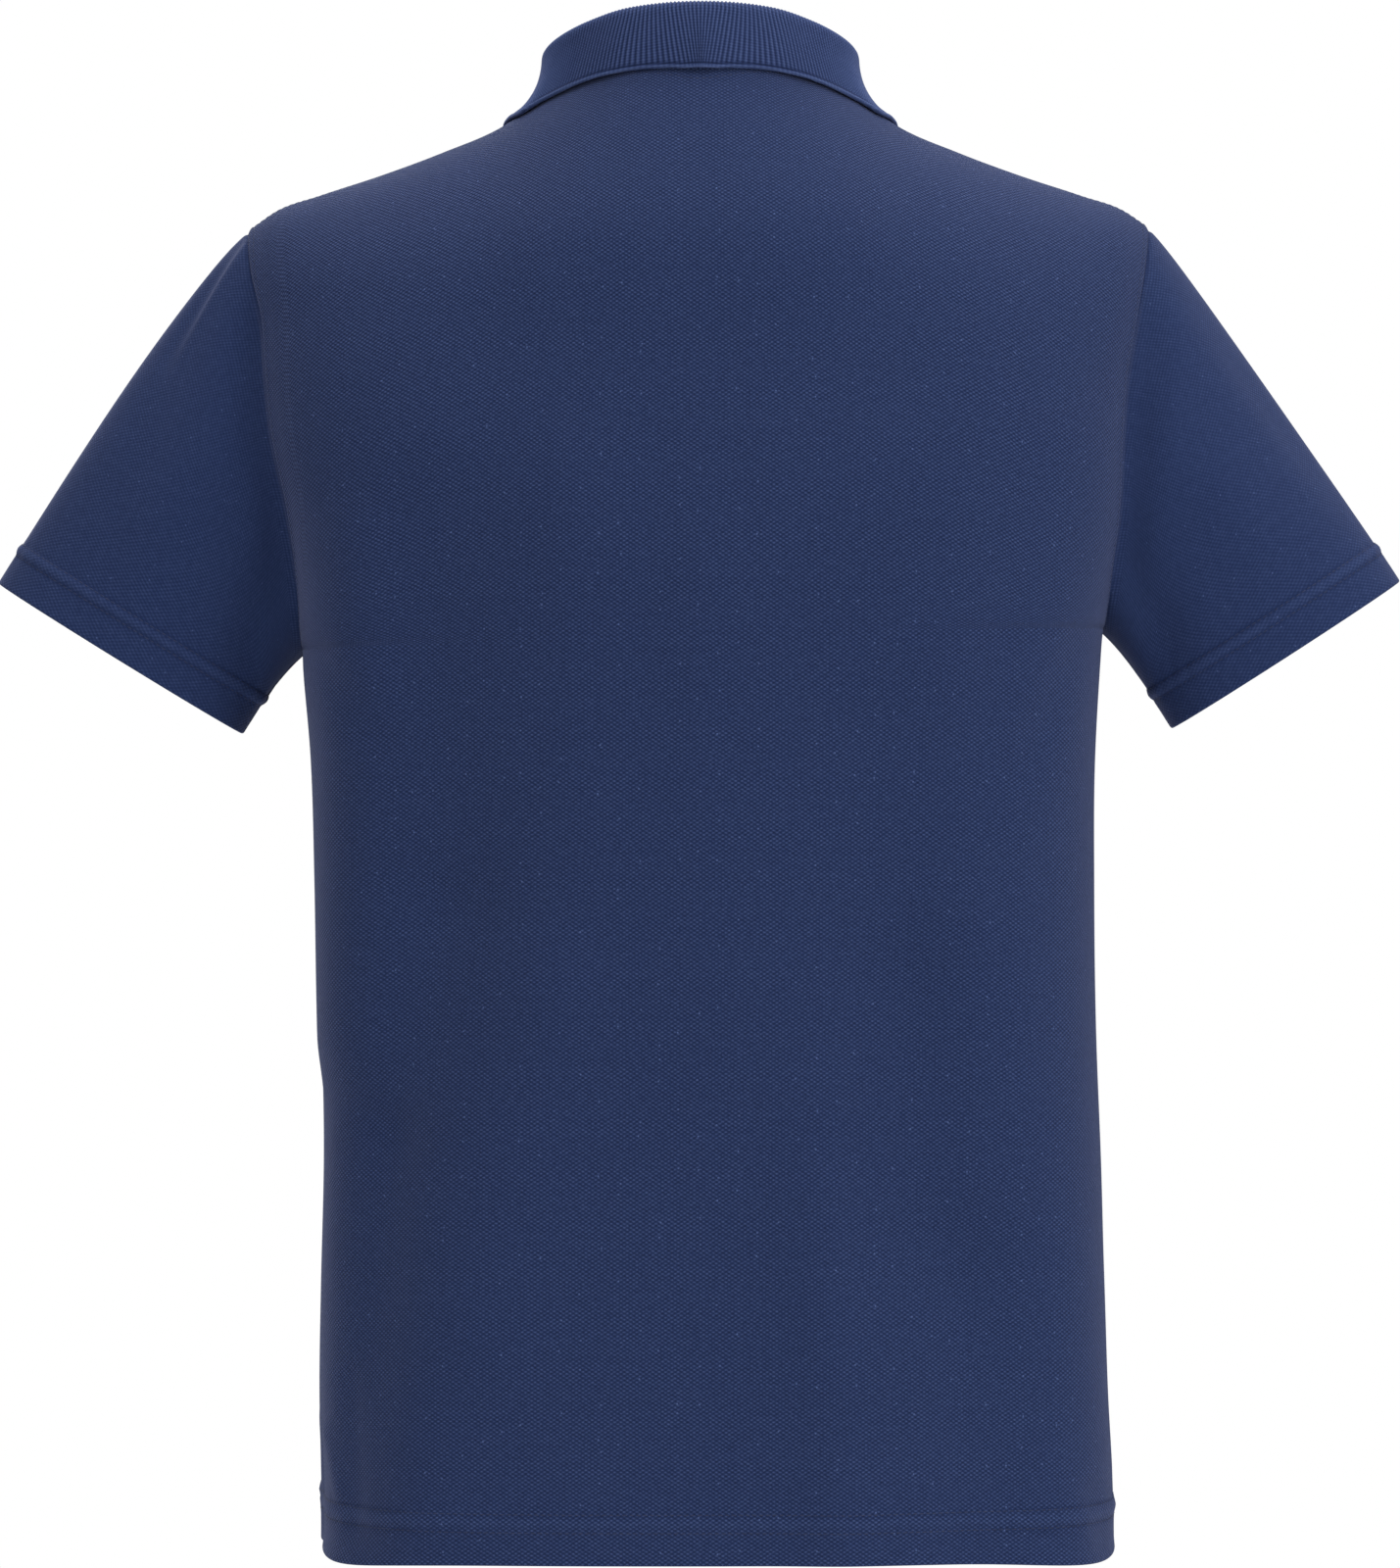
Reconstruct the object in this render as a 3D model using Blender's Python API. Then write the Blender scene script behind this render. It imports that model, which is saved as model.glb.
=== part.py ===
"""Short-sleeved polo shirt in pique knit, filled out as it is worn, with nobody in it.

Metres, +Z up. The wearer faces -Y, so the back panel faces +Y, and +X is the wearer's left.
The origin is the middle of the neck, level with the shoulders that carry the shirt.

Every panel is a grid of points on the middle of the cloth. Panels that are sewn together share
their edge points, so their walls meet in a mitre, and each is then drawn back by half a seam gap.
"""
import math

import bmesh
import bpy
import numpy as np
from mathutils import Vector

# ---- cloth ----
CLOTH = 0.0015                 # wall of the pique panels
TURN_UP = 0.0007               # what a turned hem adds inside
COLLAR_CLOTH = 0.0013          # wall of the collar, without its ribs
RIB_HEIGHT = 0.0004
SEAM_GAP = 0.00034             # between two pieces that are sewn together
LAY_GAP = 0.0005               # between two pieces that lie on each other

# ---- levels and lengths ----
HEM_LEVEL = -0.6688
HEM_CORNER_DROP = 0.0035       # the hem hangs lower beside its back corners
HEM_CORNER_POWER = 8           # how near to the corners
BODY_HEM = 0.027
SLEEVE_HEM = 0.022
HEM_STEP = 0.0012              # over this height the wall thins above a turned hem
UNDERARM_LEFT = -0.2500
UNDERARM_RIGHT = -0.2400

# ---- neck ----
NECK_HALF_WIDTH = 0.068
NECK_BACK_REACH = 0.065        # from the shoulder seam to the middle of the back neck, along Y
NECK_FRONT_REACH = 0.069
SEAM_PLACE_AT_NECK = -0.005    # the shoulder seam's place along Y, from the neck outward
SEAM_PLACE_AT_ARM = -0.008

# ---- placket ----
PLACKET_HALF = 0.0165
PLACKET_FIRST_ROW = 4          # row above the underarm where the slit in the front ends
PLACKET_OVERLAP = 0.0010       # the top band covers the edges of the slit
PLACKET_FOOT = 0.25            # and reaches this part of a row below it
PLACKET_NECK_GAP = 0.00075     # it ends this far below the collar's seam
BUTTON_RADIUS = 0.00575
BUTTON_HEIGHT = 0.0026
BUTTON_SIDES = 20
BUTTON_DROPS = (0.017, 0.067, 0.117)     # below the front of the neck
# From the seat's middle round to the middle of the dished face, as parts of radius and height.
BUTTON_PROFILE = ((0.0, 0.0), (0.80, 0.0), (1.0, 0.30), (1.0, 0.70), (0.88, 1.0), (0.70, 0.75),
                  (0.0, 0.68))

# ---- armholes ----
ARMHOLE_BACK = 0.049           # how far the armhole bows backward and forward of the side seam
ARMHOLE_FRONT = 0.054
ARMHOLE_ROUND = 0.55           # part of its height that the round bottom takes
ARMHOLE_POWER = 2.2            # how full that round is

# ---- grids ----
NECK_COLUMNS = 5               # columns from the middle of the neck to its side
SHOULDER_COLUMNS = 7           # columns from there to the armhole
BODY_ROWS = 14                 # rows between the hem's stitching and the underarm
ARMHOLE_ROWS = 12
UNDERARM_ROW = BODY_ROWS + 2
SLEEVE_ROWS = 9
RIB_COLUMNS_PER_CELL = 8       # two columns to each rib


class Sizes:
    """Rows of sizes under named columns, read as smooth curves along the first column."""

    def __init__(self, columns, rows, level_start=False):
        self.columns = dict(zip(columns, np.array(rows, dtype=float).T))
        self.stations = self.columns[columns[0]]
        self.level_start = level_start

    def at(self, column, where):
        values = self.columns[column]
        slopes = np.gradient(values, self.stations)
        if self.level_start:
            slopes[0] = 0.0
        where = np.asarray(where, dtype=float)
        last = len(self.stations) - 2
        i = np.clip(np.searchsorted(self.stations, where) - 1, 0, last)
        step = self.stations[i + 1] - self.stations[i]
        t = np.clip((where - self.stations[i]) / step, 0.0, 1.0)
        rise = values[i + 1] - values[i]
        bend_in = slopes[i] * step - rise
        bend_out = rise - slopes[i + 1] * step
        return values[i] + rise * t + t * (1 - t) * (bend_in * (1 - t) + bend_out * t)


# Half widths of the body, and above the underarm the places of the armhole seams.
SIDES = Sizes(
    ("height", "left", "right"),
    ((-0.669, 0.1784, 0.1938),
     (-0.637, 0.1786, 0.1930),
     (-0.600, 0.1793, 0.1911),
     (-0.550, 0.1786, 0.1896),
     (-0.489, 0.1772, 0.1877),
     (-0.430, 0.1780, 0.1855),
     (-0.360, 0.1796, 0.1846),
     (-0.300, 0.1818, 0.1850),
     (-0.250, 0.1865, 0.1880),
     (-0.215, 0.1882, 0.1915),
     (-0.185, 0.1922, 0.1950),
     (-0.150, 0.1995, 0.1966),
     (-0.122, 0.2028, 0.1990),
     (-0.095, 0.2052, 0.2040),
     (-0.072, 0.2110, 0.2085),
     (-0.052, 0.2140, 0.2118)))

# Depth of the body behind and in front of the side seams, and how square its section is.
DEPTHS = Sizes(
    ("height", "back", "front", "square"),
    ((-0.668, 0.1160, 0.1320, 3.6),
     (-0.550, 0.1120, 0.1350, 3.3),
     (-0.450, 0.1090, 0.1360, 3.1),
     (-0.350, 0.1100, 0.1345, 3.0),
     (-0.250, 0.1165, 0.1310, 3.0),
     (-0.150, 0.1235, 0.1310, 2.8),
     (-0.050, 0.1260, 0.1300, 2.6),
     (0.020, 0.1260, 0.1300, 2.6)))

# Height of the shoulders' ridge from the middle outward, and how round the body turns over it.
# Inside the neck the ridge is only the form that the neckline is cut from.
RIDGE = Sizes(
    ("out", "level", "round_back", "round_front"),
    ((0.000, 0.0560, 2.05, 1.36),
     (0.030, 0.0460, 2.10, 1.42),
     (0.050, 0.0310, 2.15, 1.55),
     (0.068, 0.0160, 2.20, 1.72),
     (0.092, -0.0020, 2.25, 1.95),
     (0.121, -0.0148, 2.30, 2.15),
     (0.150, -0.0255, 2.30, 2.25),
     (0.180, -0.0352, 2.30, 2.30),
     (0.200, -0.0422, 2.30, 2.30),
     (0.214, -0.0520, 2.30, 2.30)), level_start=True)

# Collar, by the turn round the neck from the middle of the back, in degrees: how high the fold
# stands over the neck seam and how far it leans out, how far the fall bulges between fold and
# edge, and the place of the free edge.
COLLAR = Sizes(
    ("turn", "rise", "lean", "bulge", "edge_out", "edge_y", "edge_level"),
    ((0, 0.0309, -0.0010, 0.0012, 0.0000, 0.0640, 0.0192),
     (30, 0.0277, -0.0008, 0.0008, 0.0425, 0.0514, 0.0172),
     (60, 0.0216, -0.0002, -0.0020, 0.0735, 0.0310, 0.0073),
     (75, 0.0190, 0.0000, -0.0035, 0.0850, 0.0230, 0.0018),
     (90, 0.0168, 0.0002, -0.0045, 0.0915, -0.0030, -0.0002),
     (120, 0.0129, 0.0006, -0.0020, 0.0885, -0.0440, -0.0190),
     (145, 0.0118, 0.0008, 0.0010, 0.0730, -0.0760, -0.0500),
     (165, 0.0116, 0.0000, 0.0030, 0.0510, -0.0960, -0.0740),
     (178, 0.0120, 0.0000, 0.0030, 0.0360, -0.1060, -0.0850)), level_start=True)
COLLAR_END_TURN = 177.0
COLLAR_FOLD_RADIUS = 0.0030
COLLAR_SEWN_EDGE = 0.0030      # plain stretch at the neck seam, where the ribs die out
COLLAR_PLAIN_EDGE = 0.0032     # plain stretch at the free edge
COLLAR_CLEARANCE = (CLOTH + COLLAR_CLOTH) / 2 + 0.0018
PLACKET_RAMP_START = 0.006     # how far beside the placket the fall starts to rise over it
PLACKET_RAMP = 0.004
FALL_ROW = 5                   # from this row on, a collar section lies on the body

# Cuff openings, as the outer and inner corner of each.
CUFFS = {
    "left": {"outer": (0.3310, -0.2182), "inner": (0.2172, -0.2884)},
    "right": {"outer": (-0.3298, -0.2172), "inner": (-0.2236, -0.2858)},
}
CUFF_HALF_DEPTH = 0.039
CUFF_DEPTH_PLACE = -0.002
SHOULDER_SLOPE = math.radians(36)
CAP_LEAD = {"left": 0.14, "right": 0.08}     # part of a sleeve's length over which its top turns down
UNDER_LEAD = 0.30
CUFF_LEAD = 0.30
UNDER_OUTWARD = 0.35           # how much the sleeve's underside starts out sideways

# Soft folds: where each starts and ends across the body and up it, its half width, and its depth
# (minus is a trough). Across and height are on the face that the fold lies on.
FOLD_CALM_SIDE = 0.10          # folds die out over this part of the half width beside a side seam
FOLD_CALM_ROWS = 4             # and over these rows below the top
FOLD_COLUMNS = ("face", "start_x", "start_z", "end_x", "end_z", "half_width", "depth")
BODY_FOLDS = (
    ("back", 0.095, -0.300, 0.140, -0.450, 0.030, -0.0032),
    ("back", 0.138, -0.440, 0.142, -0.590, 0.026, -0.0030),
    ("back", -0.016, -0.330, -0.100, -0.560, 0.034, 0.0034),
    ("back", -0.072, -0.390, -0.150, -0.500, 0.024, -0.0030),
    ("back", -0.066, -0.510, -0.064, -0.650, 0.016, 0.0032),
    ("back", -0.116, -0.520, -0.118, -0.660, 0.020, -0.0036),
    ("back", 0.150, -0.190, 0.120, -0.300, 0.022, -0.0022),
    ("back", -0.152, -0.180, -0.128, -0.310, 0.022, -0.0022),
    ("front", -0.150, -0.190, -0.080, -0.320, 0.028, -0.0030),
    ("front", 0.152, -0.195, 0.090, -0.350, 0.028, -0.0032),
    ("front", 0.060, -0.330, 0.120, -0.560, 0.032, 0.0034),
    ("front", -0.070, -0.370, -0.130, -0.600, 0.030, -0.0034),
    ("front", 0.010, -0.420, 0.030, -0.640, 0.034, -0.0030),
)

# Folds of the sleeves: where each lies round the sleeve at the armhole and at the cuff, as a part
# of a turn from the underarm by way of the back, over which part of the length, and its depth.
SLEEVE_FOLD_SWELL = 1.2        # power of the sine by which a fold deepens along its length
SLEEVE_FOLD_COLUMNS = ("side", "round_in", "round_out", "half_round", "start", "end", "depth")
SLEEVE_FOLDS = (
    ("left", 0.46, 0.33, 0.050, 0.00, 0.55, -0.0022),
    ("left", 0.26, 0.20, 0.060, 0.20, 0.95, 0.0024),
    ("left", 0.14, 0.09, 0.045, 0.10, 0.90, -0.0026),
    ("left", 0.72, 0.80, 0.060, 0.05, 0.90, -0.0026),
    ("right", 0.45, 0.36, 0.050, 0.05, 0.60, -0.0018),
    ("right", 0.25, 0.28, 0.055, 0.20, 0.95, 0.0022),
    ("right", 0.12, 0.10, 0.045, 0.10, 0.90, -0.0028),
    ("right", 0.74, 0.82, 0.060, 0.05, 0.90, -0.0026),
)

# Colours are linear.
NAVY_PIQUE = (0.030, 0.045, 0.107, 1.0)
NAVY_RIB = (0.032, 0.046, 0.105, 1.0)
NAVY_PLASTIC = (0.014, 0.020, 0.050, 1.0)
PIQUE_ROUGHNESS = 0.90
RIB_ROUGHNESS = 0.88
PLASTIC_ROUGHNESS = 0.35

BACK, FRONT = 1, -1            # the faces of the body, by their sign along Y
SAME_POINT = 0.00001           # points nearer than this are one point of a seam
SHARPEST_MITRE = 0.45          # keeps a wall from growing a spike in the sharpest seam corner
SHARPEST_CORNER = 0.5          # the same for the corner of a panel's edge that is drawn back
LEAST_LEAN = 0.25
SMOOTH_BELOW = math.radians(50)          # faces that meet at less than this are shaded smooth
TOP_LINE_ROUNDS = 8            # rounds in which a seam's height settles on the form
LIFT_ROUNDS = 6                # and those in which the collar's fall settles clear of it
LIFT_STEP = 0.0002


# ---- small geometry ----
def smooth_step(t):
    t = np.clip(t, 0.0, 1.0)
    return t * t * (3 - 2 * t)


def quarter_round(t, power):
    """From 0 up to 1 as a quarter of a rounded square."""
    return (1 - (1 - np.clip(t, 0.0, 1.0)) ** power) ** (1 / power)


def unit(vectors):
    length = np.linalg.norm(vectors, axis=-1, keepdims=True)
    return vectors / np.maximum(length, 1e-12)


# ---- the form of the body ----
def half_width(x, z):
    """Half width of the body at height z, on the side where x lies."""
    return np.where(x >= 0, SIDES.at("left", z), SIDES.at("right", z))


def underarm_level(x, z):
    """The underarms are not quite level, so their line runs slantwise across the body."""
    across = np.clip(x / half_width(x, z), -1.0, 1.0)
    return UNDERARM_RIGHT + (UNDERARM_LEFT - UNDERARM_RIGHT) * (1 + across) / 2


def ridge_place(x):
    """Place along Y of the shoulder seam, which runs on the ridge."""
    out = np.abs(x) / RIDGE.stations[-1]
    return SEAM_PLACE_AT_NECK + (SEAM_PLACE_AT_ARM - SEAM_PLACE_AT_NECK) * out


def body_slab(face, x, z):
    """Depth of the body at x and height z, before it turns in over the shoulders."""
    deep = DEPTHS.at("back" if face == BACK else "front", z)
    square = DEPTHS.at("square", z)
    arm_rise = (z - underarm_level(x, z)) / (RIDGE.columns["level"][-1] - underarm_level(x, z))
    bow = ARMHOLE_BACK if face == BACK else ARMHOLE_FRONT
    edge = bow * quarter_round(arm_rise / ARMHOLE_ROUND, ARMHOLE_POWER)
    full_width = half_width(x, z) / (1 - (edge / deep) ** square) ** (1 / square)
    across = np.clip(np.abs(x) / full_width, 0.0, 1.0)
    return face * deep * (1 - across ** square) ** (1 / square)


def roundness(face, x):
    return RIDGE.at("round_back" if face == BACK else "round_front", np.abs(x))


def body_depth(face, x, z):
    """Place along Y of the cloth's middle at x and height z."""
    under = underarm_level(x, z)
    ridge = RIDGE.at("level", np.abs(x))
    power = roundness(face, x)
    rise = np.clip((z - under) / (ridge - under), 0.0, 1.0)
    seam = ridge_place(x)
    return seam + (body_slab(face, x, z) - seam) * (1 - rise ** power) ** (1 / power)


def top_line(face, x):
    """Place along Y and height of a panel's top: the neckline, and the shoulder seam beyond it."""
    out = np.abs(x)
    turn = np.sqrt(np.clip(1 - (out / NECK_HALF_WIDTH) ** 2, 0.0, 1.0))
    reach = NECK_BACK_REACH if face == BACK else NECK_FRONT_REACH
    seam = ridge_place(x)
    y = seam + face * reach * turn
    ridge = RIDGE.at("level", out)
    power = roundness(face, x)
    z = ridge
    for __ in range(TOP_LINE_ROUNDS):
        under = underarm_level(x, z)
        share = np.clip((y - seam) / (body_slab(face, x, z) - seam), 0.0, 1.0)
        z = under + (ridge - under) * (1 - share ** power) ** (1 / power)
    return y, z


def outside_body(points):
    """More than 0 outside the body's form, for points near the neck and shoulders."""
    x, y, z = points[..., 0], points[..., 1], points[..., 2]
    seam = ridge_place(x)
    under = underarm_level(x, z)
    rise = np.clip((z - under) / (RIDGE.at("level", np.abs(x)) - under), 0.0, 2.0)
    behind = y > seam
    power = np.where(behind, roundness(BACK, x), roundness(FRONT, x))
    slab = np.where(behind, body_slab(BACK, x, z), body_slab(FRONT, x, z))
    share = np.abs(y - seam) / np.abs(slab - seam)
    return (share ** power + rise ** power) ** (1 / power) - 1


def lifted_clear(points, clearance):
    """Move points out until they are this far from the middle of the body's cloth."""
    points = points.copy()
    for __ in range(LIFT_ROUNDS):
        here = outside_body(points)
        slope = np.stack([(outside_body(points + LIFT_STEP * axis) - here) / LIFT_STEP
                          for axis in np.eye(3)], axis=-1)
        size = np.linalg.norm(slope, axis=-1)
        short = np.clip(clearance - here / size, 0.0, None)
        points += slope / size[..., None] * short[..., None]
    return points


def shoulder_end(side_name):
    return SIDES.columns[side_name][-1]


def column_tops(middle, end):
    """Places across the top of half a panel, from near the middle to the armhole."""
    first_turn = math.asin(middle / NECK_HALF_WIDTH)
    neck = [NECK_HALF_WIDTH * math.sin(first_turn + (math.pi / 2 - first_turn) * i / NECK_COLUMNS)
            for i in range(NECK_COLUMNS + 1)]
    shoulder = [NECK_HALF_WIDTH + (end - NECK_HALF_WIDTH)
                * math.sin(math.pi / 2 * i / SHOULDER_COLUMNS)
                for i in range(1, SHOULDER_COLUMNS + 1)]
    return np.array(neck + shoulder)


def row_heights(under, top):
    """Heights of a column's points, from the hem up."""
    upper = (1 - np.cos(np.pi * np.arange(1, ARMHOLE_ROWS + 1) / ARMHOLE_ROWS)) / 2
    fold_top = HEM_LEVEL + BODY_HEM
    lower = np.linspace(fold_top + HEM_STEP, under, BODY_ROWS + 1)
    return np.concatenate(([HEM_LEVEL, fold_top], lower, under + (top - under) * upper))


def corner_drop(reach):
    """How far the hem hangs lower, most just inside the corners and nothing at the side seams."""
    power = HEM_CORNER_POWER
    most = math.sqrt(power ** power / (power + 1) ** (power + 1))
    return HEM_CORNER_DROP * reach ** power * np.sqrt(1 - reach ** 2) / most


def body_grid(face):
    """Points on the middle of the cloth, rows from the hem up, columns from the wearer's left
    across the back, or from the right across the front."""
    middle = 0.0 if face == BACK else PLACKET_HALF
    skipped = 1 if face == BACK else 0
    left = column_tops(middle, shoulder_end("left"))[skipped:]
    right = column_tops(middle, shoulder_end("right"))[skipped:]
    across = np.concatenate((left[::-1], [0.0], -right))[::face]
    points = []
    for top_x in across:
        side = 1.0 if top_x >= 0 else -1.0
        edge_top = shoulder_end("left" if side > 0 else "right")
        y_top, z_top = top_line(face, np.array(top_x))
        under = UNDERARM_RIGHT + (UNDERARM_LEFT - UNDERARM_RIGHT) * (1 + top_x / edge_top) / 2
        z = row_heights(under, float(z_top))
        width = half_width(np.full_like(z, side), z)
        if abs(top_x) <= middle:
            x = np.full_like(z, top_x)
        else:
            share = (abs(top_x) - middle) / (edge_top - middle)
            x = side * (middle + (width - middle) * share)
        at_edge = np.isclose(abs(top_x), edge_top)
        y = body_depth(face, x, z)
        y[-1] = y_top
        if at_edge:
            y[:UNDERARM_ROW + 1] = 0.0
        else:
            low = np.clip((HEM_LEVEL + 2 * BODY_HEM - z) / (2 * BODY_HEM), 0.0, 1.0)
            z = z - corner_drop(np.abs(x) / width) * low * (face == BACK)
        points.append(np.stack((x, y, z), axis=1))
    return np.stack(points, axis=1)


def fold_height(folds, face_name, x, z):
    """Sum of the soft folds of one face at x and z."""
    total = np.zeros_like(x)
    for row in folds:
        fold = dict(zip(FOLD_COLUMNS, row))
        if fold["face"] != face_name:
            continue
        start = np.array((fold["start_x"], fold["start_z"]))
        run = np.array((fold["end_x"], fold["end_z"])) - start
        away = np.stack((x, z), axis=-1) - start
        along = np.clip((away @ run) / (run @ run), 0.0, 1.0)
        off = np.linalg.norm(away - along[..., None] * run, axis=-1)
        total += fold["depth"] * np.exp(-(off / fold["half_width"]) ** 2)
    return total


def add_body_folds(grid, face):
    """Push the folds out along the cloth's own normals, away from the seams."""
    name = "back" if face == BACK else "front"
    height = fold_height(BODY_FOLDS, name, grid[..., 0], grid[..., 2])
    reach = np.abs(grid[..., 0]) / half_width(grid[..., 0], grid[..., 2])
    rows_down = np.arange(grid.shape[0])[::-1, None]
    calm = smooth_step((1 - reach) / FOLD_CALM_SIDE) * smooth_step(rows_down / FOLD_CALM_ROWS)
    normals = grid_normals(grid, closed=False)
    return grid + normals * (height * calm)[..., None]


# ---- sleeves ----
def armhole_ring(side, back, front):
    """The armhole's points, once round from the underarm, so that a sleeve drawn out from it
    has its faces outward."""
    edge_of_back = 0 if side == "left" else -1
    edge_of_front = -1 if side == "left" else 0
    up_back = back[UNDERARM_ROW:, edge_of_back]
    up_front = front[UNDERARM_ROW:, edge_of_front]
    first, second = (up_back, up_front) if side == "left" else (up_front, up_back)
    return np.concatenate((first, second[-2:0:-1]))


def sleeve_grid(side, ring):
    """Rows from the armhole to the cuff, each a ring."""
    outer, inner = (np.array((p[0], CUFF_DEPTH_PLACE, p[1])) for p in CUFFS[side].values())
    centre = (outer + inner) / 2
    half_long = (outer - inner) / 2
    out_sign = 1.0 if side == "left" else -1.0
    across = unit(half_long)
    cuff_way = out_sign * np.array((across[2], 0.0, -across[0]))
    steps = np.linalg.norm(np.roll(ring, -1, axis=0) - ring, axis=1)
    share = np.concatenate(([0.0], np.cumsum(steps)[:-1])) / steps.sum()
    turn = 2 * np.pi * share[:, None]
    half_deep = np.array((0.0, CUFF_HALF_DEPTH * out_sign, 0.0))
    cuff = centre - np.cos(turn) * half_long + np.sin(turn) * half_deep
    run = cuff - ring
    length = np.linalg.norm(run, axis=1, keepdims=True)
    topness = ((ring[:, 2:] - ring[:, 2].min()) / np.ptp(ring[:, 2])) ** 2
    shoulder_way = np.array((out_sign * math.cos(SHOULDER_SLOPE), 0.0, -math.sin(SHOULDER_SLOPE)))
    under_way = unit(unit(run) + np.array((out_sign * UNDER_OUTWARD, 0.0, 0.0)))
    start_way = unit(under_way * (1 - topness) + shoulder_way * topness)
    lead = length * (UNDER_LEAD + (CAP_LEAD[side] - UNDER_LEAD) * topness)
    leave = ring + start_way * lead
    arrive = cuff - cuff_way * length * CUFF_LEAD
    mean_length = float(length.mean())
    fold_top = 1 - SLEEVE_HEM / mean_length
    rows = np.linspace(0.0, fold_top - HEM_STEP / mean_length, SLEEVE_ROWS + 1)
    places = np.concatenate((rows, [fold_top, 1.0]))
    t = places[:, None, None]
    grid = (ring * (1 - t) ** 3 + leave * 3 * t * (1 - t) ** 2
            + arrive * 3 * t ** 2 * (1 - t) + cuff * t ** 3)
    round_share = share if side == "left" else (1 - share) % 1.0
    return add_sleeve_folds(grid, side, round_share, places)


def add_sleeve_folds(grid, side, round_share, places):
    """Push a sleeve's folds out along the cloth's own normals, away from seam and cuff edge."""
    height = np.zeros(grid.shape[:2])
    for row in SLEEVE_FOLDS:
        fold = dict(zip(SLEEVE_FOLD_COLUMNS, row))
        if fold["side"] != side:
            continue
        part = (places - fold["start"]) / (fold["end"] - fold["start"])
        swell = np.sin(np.pi * np.clip(part, 0.0, 1.0)) ** SLEEVE_FOLD_SWELL
        lies_at = fold["round_in"] + (fold["round_out"] - fold["round_in"]) * places
        off = (round_share[None, :] - lies_at[:, None]) / fold["half_round"]
        height += fold["depth"] * swell[:, None] * np.exp(-off ** 2)
    return grid + grid_normals(grid, closed=True) * height[..., None]


# ---- collar ----
def neck_corner_turns():
    """Turns, from the middle of the back, of the points where the body's columns meet the neck."""
    back = [90.0 * i / NECK_COLUMNS for i in range(NECK_COLUMNS + 1)]
    first = math.degrees(math.asin(PLACKET_HALF / NECK_HALF_WIDTH))
    front = [180.0 - first - (90.0 - first) * i / NECK_COLUMNS for i in range(NECK_COLUMNS)]
    return back + front[::-1] + [180.0]


def neck_point(turn):
    """Point of the neckline at a turn in degrees, 0 at the back, plus to the wearer's left."""
    face = BACK if abs(turn) <= 90 else FRONT
    x = NECK_HALF_WIDTH * math.sin(math.radians(turn))
    y, z = top_line(face, np.array(x))
    return np.array((x, float(y), float(z)))


def neck_on_chords(turn):
    """The same, on the straight runs between the body's points."""
    corners = neck_corner_turns()
    size = abs(turn)
    i = min(int(np.searchsorted(corners, size, side="right")) - 1, len(corners) - 2)
    part = (size - corners[i]) / (corners[i + 1] - corners[i])
    sign = -1.0 if turn < 0 else 1.0
    start, end = neck_point(sign * corners[i]), neck_point(sign * corners[i + 1])
    return start + (end - start) * part


def collar_section(turn):
    """The collar cut across at one turn: neck seam, stand, fold, fall and free edge."""
    size = abs(turn)
    sign = -1.0 if turn < 0 else 1.0
    angle = math.radians(turn)
    outward = np.array((math.sin(angle), math.cos(angle), 0.0))
    up = np.array((0.0, 0.0, 1.0))
    seam = neck_on_chords(turn)
    rise = float(COLLAR.at("rise", size)) - COLLAR_FOLD_RADIUS
    lean = float(COLLAR.at("lean", size))
    stand_way = unit(up * rise + outward * lean)
    stand_top = seam + up * rise + outward * lean
    fold_top = stand_top + (outward + up) * COLLAR_FOLD_RADIUS
    fall_top = stand_top + outward * 2 * COLLAR_FOLD_RADIUS
    edge = np.array((sign * float(COLLAR.at("edge_out", size)),
                     float(COLLAR.at("edge_y", size)), float(COLLAR.at("edge_level", size))))
    drop = edge - fall_top
    along = unit(np.array((outward[1], -outward[0], 0.0)))
    out_of_fall = unit(np.cross(along, drop))
    out_of_fall = out_of_fall if out_of_fall @ outward > 0 else -out_of_fall
    middle = fall_top + drop * 0.5 + out_of_fall * float(COLLAR.at("bulge", size))
    near_edge = edge - unit(edge - middle) * COLLAR_PLAIN_EDGE
    return np.stack((seam, seam + stand_way * COLLAR_SEWN_EDGE, stand_top, fold_top, fall_top,
                     middle, near_edge, edge))


def collar_grid(turns):
    """Sections side by side, with the fall resting just clear of the shoulders and the placket."""
    grid = np.stack([collar_section(turn) for turn in turns], axis=1)
    fall = slice(FALL_ROW, None)
    beside = np.abs(grid[fall, :, 0]) - PLACKET_HALF
    over_placket = smooth_step((PLACKET_RAMP_START - beside) / PLACKET_RAMP)
    over_placket *= grid[fall, :, 1] < 0
    clearance = COLLAR_CLEARANCE + (CLOTH + LAY_GAP) * over_placket
    grid[fall] = lifted_clear(grid[fall], clearance)
    return grid


def collar_turns():
    """Turns of the collar's coarse columns, from the wearer's right end round to the left."""
    corners = [t for t in neck_corner_turns() if t < 180.0] + [COLLAR_END_TURN]
    half = [0.0]
    for start, end in zip(corners[:-1], corners[1:]):
        cells = 2 if end == COLLAR_END_TURN else (3 if end <= 90.0 else 4)
        half += [start + (end - start) * i / cells for i in range(1, cells + 1)]
    return [-t for t in half[:0:-1]] + half


# ---- from grids to walls ----
def grid_normals(grid, closed):
    """Normals of a grid of points, by its rows and columns."""
    if closed:
        across = np.roll(grid, -1, axis=1) - np.roll(grid, 1, axis=1)
    else:
        across = np.gradient(grid, axis=1)
    up = np.gradient(grid, axis=0)
    return unit(np.cross(unit(across), unit(up)))


def grid_quads(rows, columns, closed, keep=None):
    """Faces of a grid, as point numbers, turned outward."""
    quads = []
    for r in range(rows - 1):
        for c in range(columns if closed else columns - 1):
            if keep is None or keep(r, c):
                right = (c + 1) % columns
                quads.append((r * columns + c, r * columns + right,
                              (r + 1) * columns + right, (r + 1) * columns + c))
    return quads


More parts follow.
